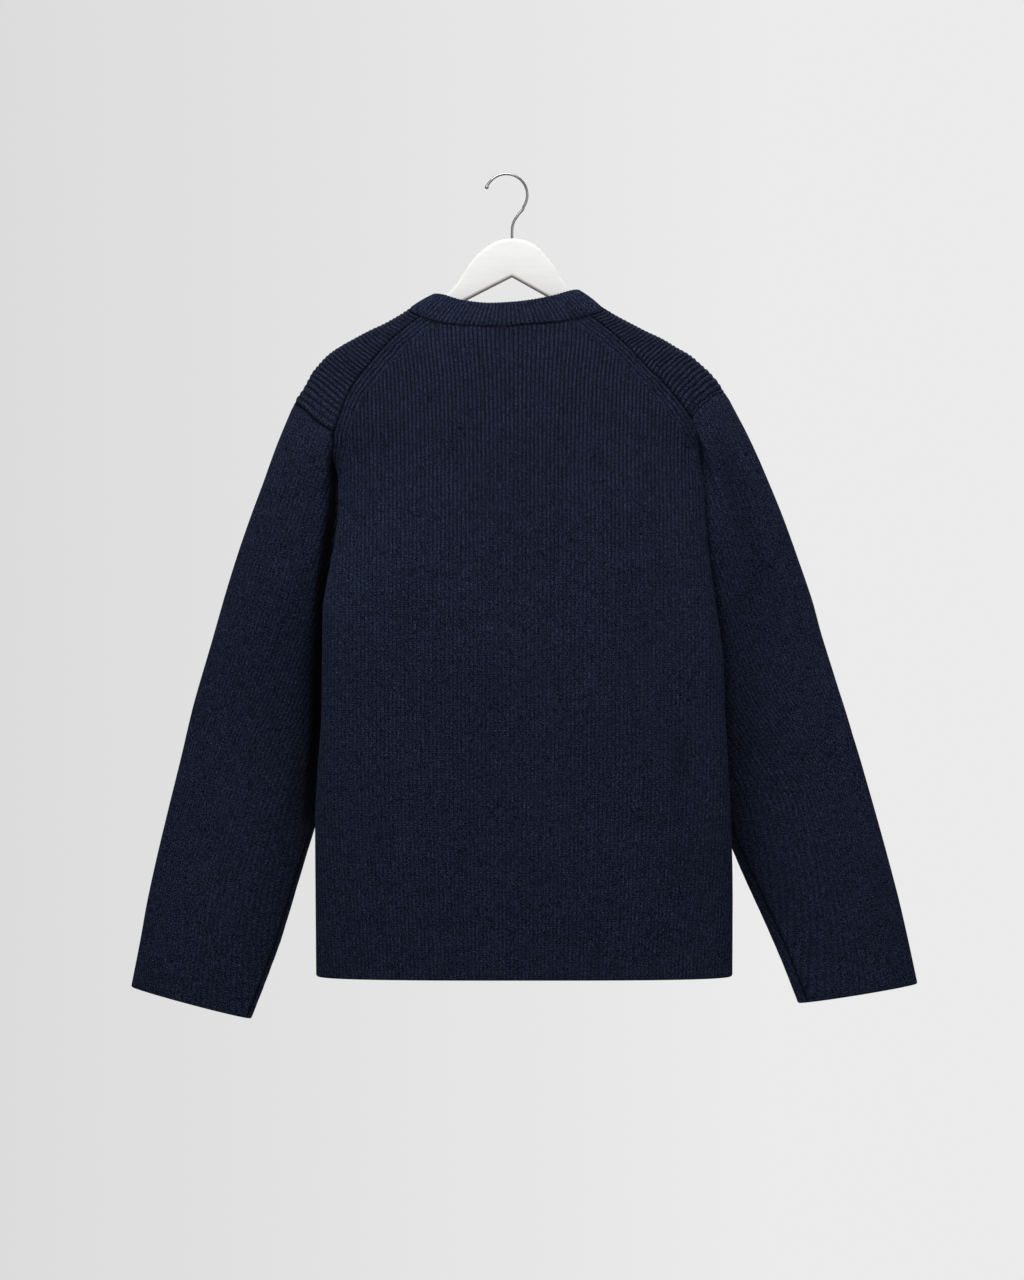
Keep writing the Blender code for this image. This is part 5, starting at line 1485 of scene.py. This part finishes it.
def build_hanger():
    """A flat wooden hanger with rounded edges, painted white."""
    outline = hanger_outline()
    ahead = unit(np.roll(outline, -1, axis=0) - np.roll(outline, 1, axis=0))
    inwards = beside(ahead[:, 1], -ahead[:, 0])
    loops = []
    for angle in CORNER_TURNS:
        loops.append((-(HANGER_THICK / 2 - HANGER_ROUND) + HANGER_ROUND * math.sin(angle),
                      HANGER_ROUND * (1 - math.cos(angle))))
    loops += [(-y, inset) for y, inset in loops[::-1]]
    count = len(outline)
    shape = bmesh.new()
    rows = []
    for y, inset in loops:
        moved = outline + inwards * inset
        ring_points = beside(moved[:, 0], np.full(count, y), moved[:, 1]) + GARMENT_SHIFT
        rows.append([shape.verts.new(tuple(point)) for point in ring_points])
    for low, high in zip(rows, rows[1:]):
        for i in range(count):
            j = (i + 1) % count
            shape.faces.new((low[i], low[j], high[j], high[i]))
    for loop in (rows[0], rows[-1]):
        bmesh.ops.triangulate(shape, faces=[shape.faces.new(loop)])
    mesh = solid_mesh("hanger_wood", shape)
    mesh.set_sharp_from_angle(angle=SHARP_WOOD)
    add_object("hanger_wood", mesh)


def build_hook():
    """A bent steel wire with a small ball at its tip, standing in the wood."""
    path = []
    for angle in HOOK_TURNS:
        path.append(np.array((HOOK_CENTRE[0] + HOOK_RADIUS * math.cos(angle), 0.0,
                              HOOK_CENTRE[2] + HOOK_RADIUS * math.sin(angle))))
    stem = smooth_line(path[-1:] + [(x, 0.0, z) for x, z in HOOK_BEND], STEM_STEP)
    line = path[:-1] + list(stem) + [np.array(STEM_FOOT)]
    ahead = unit(line[1] - line[0])
    tip = [line[0] + ahead * TIP_BALL * (share - 1.0) for share in BALL_SHARES]
    radii = [max(TIP_BALL * math.sqrt(max(0.0, 1 - (share - 1) ** 2)), WIRE_RADIUS * 0.15)
             for share in BALL_SHARES]
    rest = [point for point in line[1:] if np.linalg.norm(point - line[0]) > TIP_BALL * 0.85]
    bent_tube("hanger_hook_wire", tip + rest, radii + [WIRE_RADIUS] * len(rest), 20)


# -------- materials
MATERIAL = {}
STITCH_LENGTH = 0.0024
GROOVE_SHADE = 0.12  # share of its colour that the deepest groove between two ribs keeps: painted shade
YARNS = {  # the dark and the light yarn and the flecks
    "knit_body": ((0.0008, 0.0016, 0.0048), (0.0121, 0.0169, 0.0402), (0.067, 0.082, 0.143)),
    "knit_band": ((0.0013, 0.0024, 0.0062), (0.0155, 0.0214, 0.0480), (0.068, 0.083, 0.142)),
}


class Nodes:
    """A short way to write a tree of nodes and their links."""

    def __init__(self, tree):
        self.tree = tree

    def set(self, socket, value):
        """A value or another node's output on a socket."""
        if isinstance(value, bpy.types.NodeSocket):
            self.tree.links.new(value, socket)
        else:
            socket.default_value = value

    def add(self, kind, inputs=(), **settings):
        """A node with its settings; inputs maps a socket's name or number to a value or an output."""
        node = self.tree.nodes.new(kind)
        for key, value in settings.items():
            setattr(node, key, value)
        for key, value in dict(inputs).items():
            self.set(node.inputs[key], value)
        return node

    def math(self, operation, *values):
        """The result of one arithmetic step."""
        return self.add("ShaderNodeMath", dict(enumerate(values)), operation=operation).outputs[0]

    def times(self, first, *others):
        """The product of some values."""
        for other in others:
            first = self.math("MULTIPLY", first, other)
        return first

    def spread(self, value, low, high, to_low=0.0, to_high=1.0):
        """A value's range from low to high, stretched to another range."""
        return self.add("ShaderNodeMapRange", {0: value, 1: low, 2: high, 3: to_low, 4: to_high}).outputs[0]


class Paint(Nodes):
    """A new material's nodes: patterns laid out in the object's own coordinates, and its shader."""

    def __init__(self, name):
        material = bpy.data.materials.new(name)
        material.use_nodes = True
        super().__init__(material.node_tree)
        self.shader = self.tree.nodes["Principled BSDF"]
        self.place = self.add("ShaderNodeTexCoord").outputs["Object"]
        MATERIAL[name] = material

    def noise(self, scale, detail=2.0, rough=0.5, stretch=None):
        """Noise between 0 and 1, drawn out along an axis by its share in stretch."""
        place = self.place
        if stretch:
            place = self.add("ShaderNodeMapping", {"Vector": place, "Scale": stretch}).outputs[0]
        return self.add("ShaderNodeTexNoise", {"Vector": place, "Scale": scale, "Detail": detail,
                                               "Roughness": rough}).outputs[0]

    def mix(self, share, first, second):
        """A colour between two colours."""
        first, second = [(*colour, 1) if isinstance(colour, tuple) else colour for colour in (first, second)]
        return self.add("ShaderNodeMix", {0: share, 6: first, 7: second}, data_type="RGBA").outputs[2]

    def put(self, **sockets):
        """Values and outputs on the shader's sockets, which are named with _ for each space."""
        for name, value in sockets.items():
            self.set(self.shader.inputs[name.replace("_", " ")], value)

    def bump(self, height, strength, distance):
        """Small relief on the shader's normal."""
        node = self.add("ShaderNodeBump", {"Strength": strength, "Distance": distance, "Height": height})
        self.put(Normal=node.outputs[0])


def knit_material(name, dark, light, fleck):
    """Navy wool: flecked yarn in upright stitches with a short nap, and shade painted between the ribs, along
    the seams and in creases.
    """
    made = Paint(name)
    wale, course, relief, seam = [made.add("ShaderNodeAttribute", attribute_name=label).outputs["Fac"]
                                  for label in ("wale", "course", "relief", "painted_shade")]
    from_middle = made.math("ABSOLUTE", made.math("SUBTRACT", made.math("FRACT", wale), 0.5))
    crest = made.math("SUBTRACT", 1.0, made.times(from_middle, 2.0))
    stitch = made.math("FRACT", made.math("ADD", made.times(course, 1 / STITCH_LENGTH),
                                          made.times(from_middle, 1.1)))
    loop = made.math("SINE", made.times(stitch, math.pi))
    fibre = made.noise(1300.0, 2.0, 0.7)
    yarn = made.noise(880.0, 2.0, 0.8)
    blend = made.noise(500.0, 2.0, 0.8)
    cloud = made.noise(9.0, 3.0, 0.6)
    mottle = made.noise(60.0, 3.0, 0.65)
    speck = made.math("ADD", made.times(yarn, 0.50), made.times(blend, 0.50))
    shade = made.mix(made.spread(speck, 0.455, 0.555), dark, light)
    shade = made.mix(made.spread(fibre, 0.57, 0.66, 0.0, 0.90), shade, fleck)
    # Painted shade: the colour is darker in the grooves between the ribs, the more so the deeper the ribs
    # are.
    painted_deepest_groove = made.spread(relief, 0.35, 1.0, 0.58 + GROOVE_SHADE / 2, GROOVE_SHADE)
    painted_groove = made.spread(crest, 0.0, 0.60, painted_deepest_groove)
    soft = made.times(made.spread(cloud, 0.3, 0.7, 0.93, 1.07), made.spread(mottle, 0.3, 0.7, 0.92, 1.08))
    weave = made.spread(loop, 0.0, 1.0, 0.62, 1.14)
    # Painted shade: the last factor darkens the colour along the seams and in the creases, from the shell's
    # attribute.
    factor = made.times(painted_groove, soft, weave, made.spread(seam, 0.0, 1.0, 1.0, 0.10))
    joined = made.add("ShaderNodeCombineXYZ", {0: factor, 1: factor, 2: factor}).outputs[0]
    scaled = made.add("ShaderNodeVectorMath", {0: shade, 1: joined}, operation="MULTIPLY")
    made.put(Base_Color=scaled.outputs[0], Roughness=0.95, Specular_IOR_Level=0.05, Sheen_Weight=0.015,
             Sheen_Roughness=0.5, Sheen_Tint=(0.55, 0.66, 1.0, 1.0))
    height = made.math("ADD", made.times(loop, 0.55), made.times(yarn, 0.75))
    made.bump(made.math("ADD", height, made.times(fibre, 0.35)), 0.75, 0.0007)


def button_material():
    """Dark horn-like plastic with faint streaks."""
    made = Paint("button_horn")
    streak = made.noise(340.0, 5.0, 0.6, stretch=(1.0, 1.0, 0.25))
    horn = made.mix(made.spread(streak, 0.35, 0.7), (0.010, 0.011, 0.016), (0.040, 0.040, 0.050))
    made.put(Base_Color=horn, Roughness=made.spread(streak, 0.3, 0.7, 0.22, 0.36))
    made.bump(made.noise(900.0, 3.0, 0.5), 0.10, 0.0003)


def thread_material():
    """Twisted navy sewing thread."""
    made = Paint("thread")
    twist = made.add("ShaderNodeTexWave", {"Vector": made.place, "Scale": 420.0, "Distortion": 1.0},
                     bands_direction="DIAGONAL").outputs["Fac"]
    made.put(Base_Color=made.mix(twist, (0.010, 0.014, 0.030), (0.030, 0.040, 0.075)), Roughness=0.75)
    made.bump(twist, 0.5, 0.0002)


def paint_material():
    """White paint on wood, with the grain just showing, and brown on the faces that turn downwards."""
    made = Paint("hanger_paint")
    grain = made.noise(420.0, 4.0, 0.6, stretch=(0.12, 1.0, 1.0))
    facing = made.add("ShaderNodeNewGeometry").outputs["Normal"]
    upright = made.add("ShaderNodeSeparateXYZ", {0: facing}).outputs[2]
    # Faces turned downwards are coloured brown instead of white.
    facing_down = made.spread(upright, -0.62, -0.86)
    streak = made.spread(grain, 0.3, 0.7)
    wood = made.mix(streak, (0.30, 0.19, 0.10), (0.46, 0.32, 0.19))
    white = made.mix(streak, (0.578, 0.575, 0.563), (0.620, 0.617, 0.606))
    made.put(Base_Color=made.mix(facing_down, white, wood), Roughness=made.spread(grain, 0.3, 0.7, 0.52, 0.62),
             Specular_IOR_Level=0.3)
    made.bump(grain, 0.06, 0.0004)


def steel_material():
    """Drawn steel wire, lightly brushed."""
    made = Paint("hook_steel")
    fine = made.noise(420.0)
    grey = made.mix(made.spread(fine, 0.35, 0.7), (0.25, 0.25, 0.26), (0.30, 0.30, 0.31))
    made.put(Base_Color=grey, Metallic=1.0, Roughness=made.spread(fine, 0.3, 0.7, 0.28, 0.32))


def floor_material():
    """Plain pale floor."""
    made = Paint("floor")
    made.put(Base_Color=made.mix(made.noise(1.5), (0.80, 0.80, 0.81), (0.84, 0.84, 0.845)), Roughness=0.9)


# -------- light and camera
CAMERA_DISTANCE = 3.2
SENSOR = 36.0
FRAME_HEIGHT = 1.3056  # what the camera takes in at the garment
FRAME_CENTRE = (0.0058, -0.4740)
FLOOR_Z = -1.75
LIGHTS = {  # place, aim, size and power of each soft light
    "key": ((-0.2, -1.0, 1.0), (0.0, 0.0, -0.30), 1.0, 38.0),
    "side": ((2.2, -1.6, 0.2), (0.0, 0.0, -0.5), 1.4, 9.0),
    "far": ((0.4, 2.2, 1.2), (0.0, 0.0, -0.4), 2.0, 50.0),
}


def area_light(name, place, aim, size, power):
    """A square soft light at a place, aimed at another."""
    light = bpy.data.lights.new(name, "AREA")
    light.shape = "SQUARE"
    light.size = size
    light.energy = power
    made = add_object(name, light)
    made.location = place
    made.rotation_euler = (Vector(aim) - Vector(place)).to_track_quat("-Z", "Y").to_euler()


def light_surround(tree):
    """An even pale band all round at eye level, a little darker to one side, and dim above and below it."""
    made = Nodes(tree)
    where = made.add("ShaderNodeTexCoord").outputs["Generated"]
    x, y, z = made.add("ShaderNodeSeparateXYZ", {0: where}).outputs
    dim = made.spread(made.math("ABSOLUTE", z), 0.22, 0.50, 1.0, 0.12)
    across = made.spread(x, -0.17, 0.08, 0.710, 0.832)
    near = made.spread(y, -0.60, 0.30, 0.68, 1.0)
    shade = tree.nodes["Background"].inputs
    made.set(shade["Color"], (1.0, 1.0, 1.0, 1.0))
    made.set(shade["Strength"], made.times(dim, across, near))


def build_stage():
    """A pale floor well below, soft studio lights, an even pale surround, and the camera."""
    scene = bpy.context.scene
    bpy.ops.mesh.primitive_plane_add(size=6.0, location=(0.0, 0.0, FLOOR_Z))
    floor = bpy.context.object
    floor.name = "studio_floor"
    floor.data.materials.append(MATERIAL["floor"])
    scene.world = bpy.data.worlds.new("surround")
    scene.world.use_nodes = True
    light_surround(scene.world.node_tree)
    for name, (place, aim, size, power) in LIGHTS.items():
        area_light(name, place, aim, size, power)
    camera = bpy.data.cameras.new("camera")
    camera.sensor_fit = "VERTICAL"
    camera.sensor_height = SENSOR
    camera.lens = SENSOR * CAMERA_DISTANCE / FRAME_HEIGHT
    camera.clip_end = 50.0
    made = add_object("camera", camera)
    made.location = (FRAME_CENTRE[0], -CAMERA_DISTANCE, FRAME_CENTRE[1])
    made.rotation_euler = (math.radians(90.0), 0.0, 0.0)
    scene.camera = made
    scene.view_settings.view_transform = "Standard"


# -------- the whole cardigan
SHEETS = {  # node: slot, flat width and length, flat area
    "back": ("knit", (0.530, 0.690), 0.300),
    "front_left": ("knit", (0.245, 0.740), 0.130),
    "front_right": ("knit", (0.255, 0.740), 0.135),
    "sleeve_left": ("knit", (0.330, 0.640), 0.180),
    "sleeve_right": ("knit", (0.330, 0.650), 0.180),
    "neckband": ("rib_band", (0.440, 0.031), None),
    "button_band_left": ("rib_band", (0.032, 0.620), None),
    "button_band_right": ("rib_band", (0.032, 0.620), None),
}


def make_materials():
    """Every material of the garment, the hanger and the floor."""
    for name, colours in YARNS.items():
        knit_material(name, *colours)
    for make in (button_material, thread_material, paint_material, steel_material, floor_material):
        make()


def stand_for(name, node, material):
    """A finished piece, riding on the body and standing for its solid."""
    piece = bpy.data.objects[name]
    piece.data.materials.clear()
    piece.data.materials.append(MATERIAL[material])
    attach(piece, "root")
    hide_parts(node)
    return piece


def main():
    """Every piece, its material, and what it stands for."""
    make_materials()
    sides = {hand: seams(hand) for hand in SIGN}
    neck = build_back(sides)
    for hand, found in sides.items():
        build_front(hand, found)
        build_sleeve(hand, found)
    build_neckband(neck, sides)
    build_button_bands()
    for node, (slot, flat, area) in SHEETS.items():
        piece = stand_for(node + "_knit", node, "knit_band" if slot == "rib_band" else "knit_body")
    for number, z in enumerate(button_heights(), 1):
        build_button(number, z)
        stand_for("button_%d_disc" % number, "button_%d" % number, "button_horn")
    build_hanger()
    build_hook()
    stand_for("hanger_wood", "hanger", "hanger_paint")
    stand_for("hanger_hook_wire", "hanger_hook", "hook_steel")
    build_stage()


main()
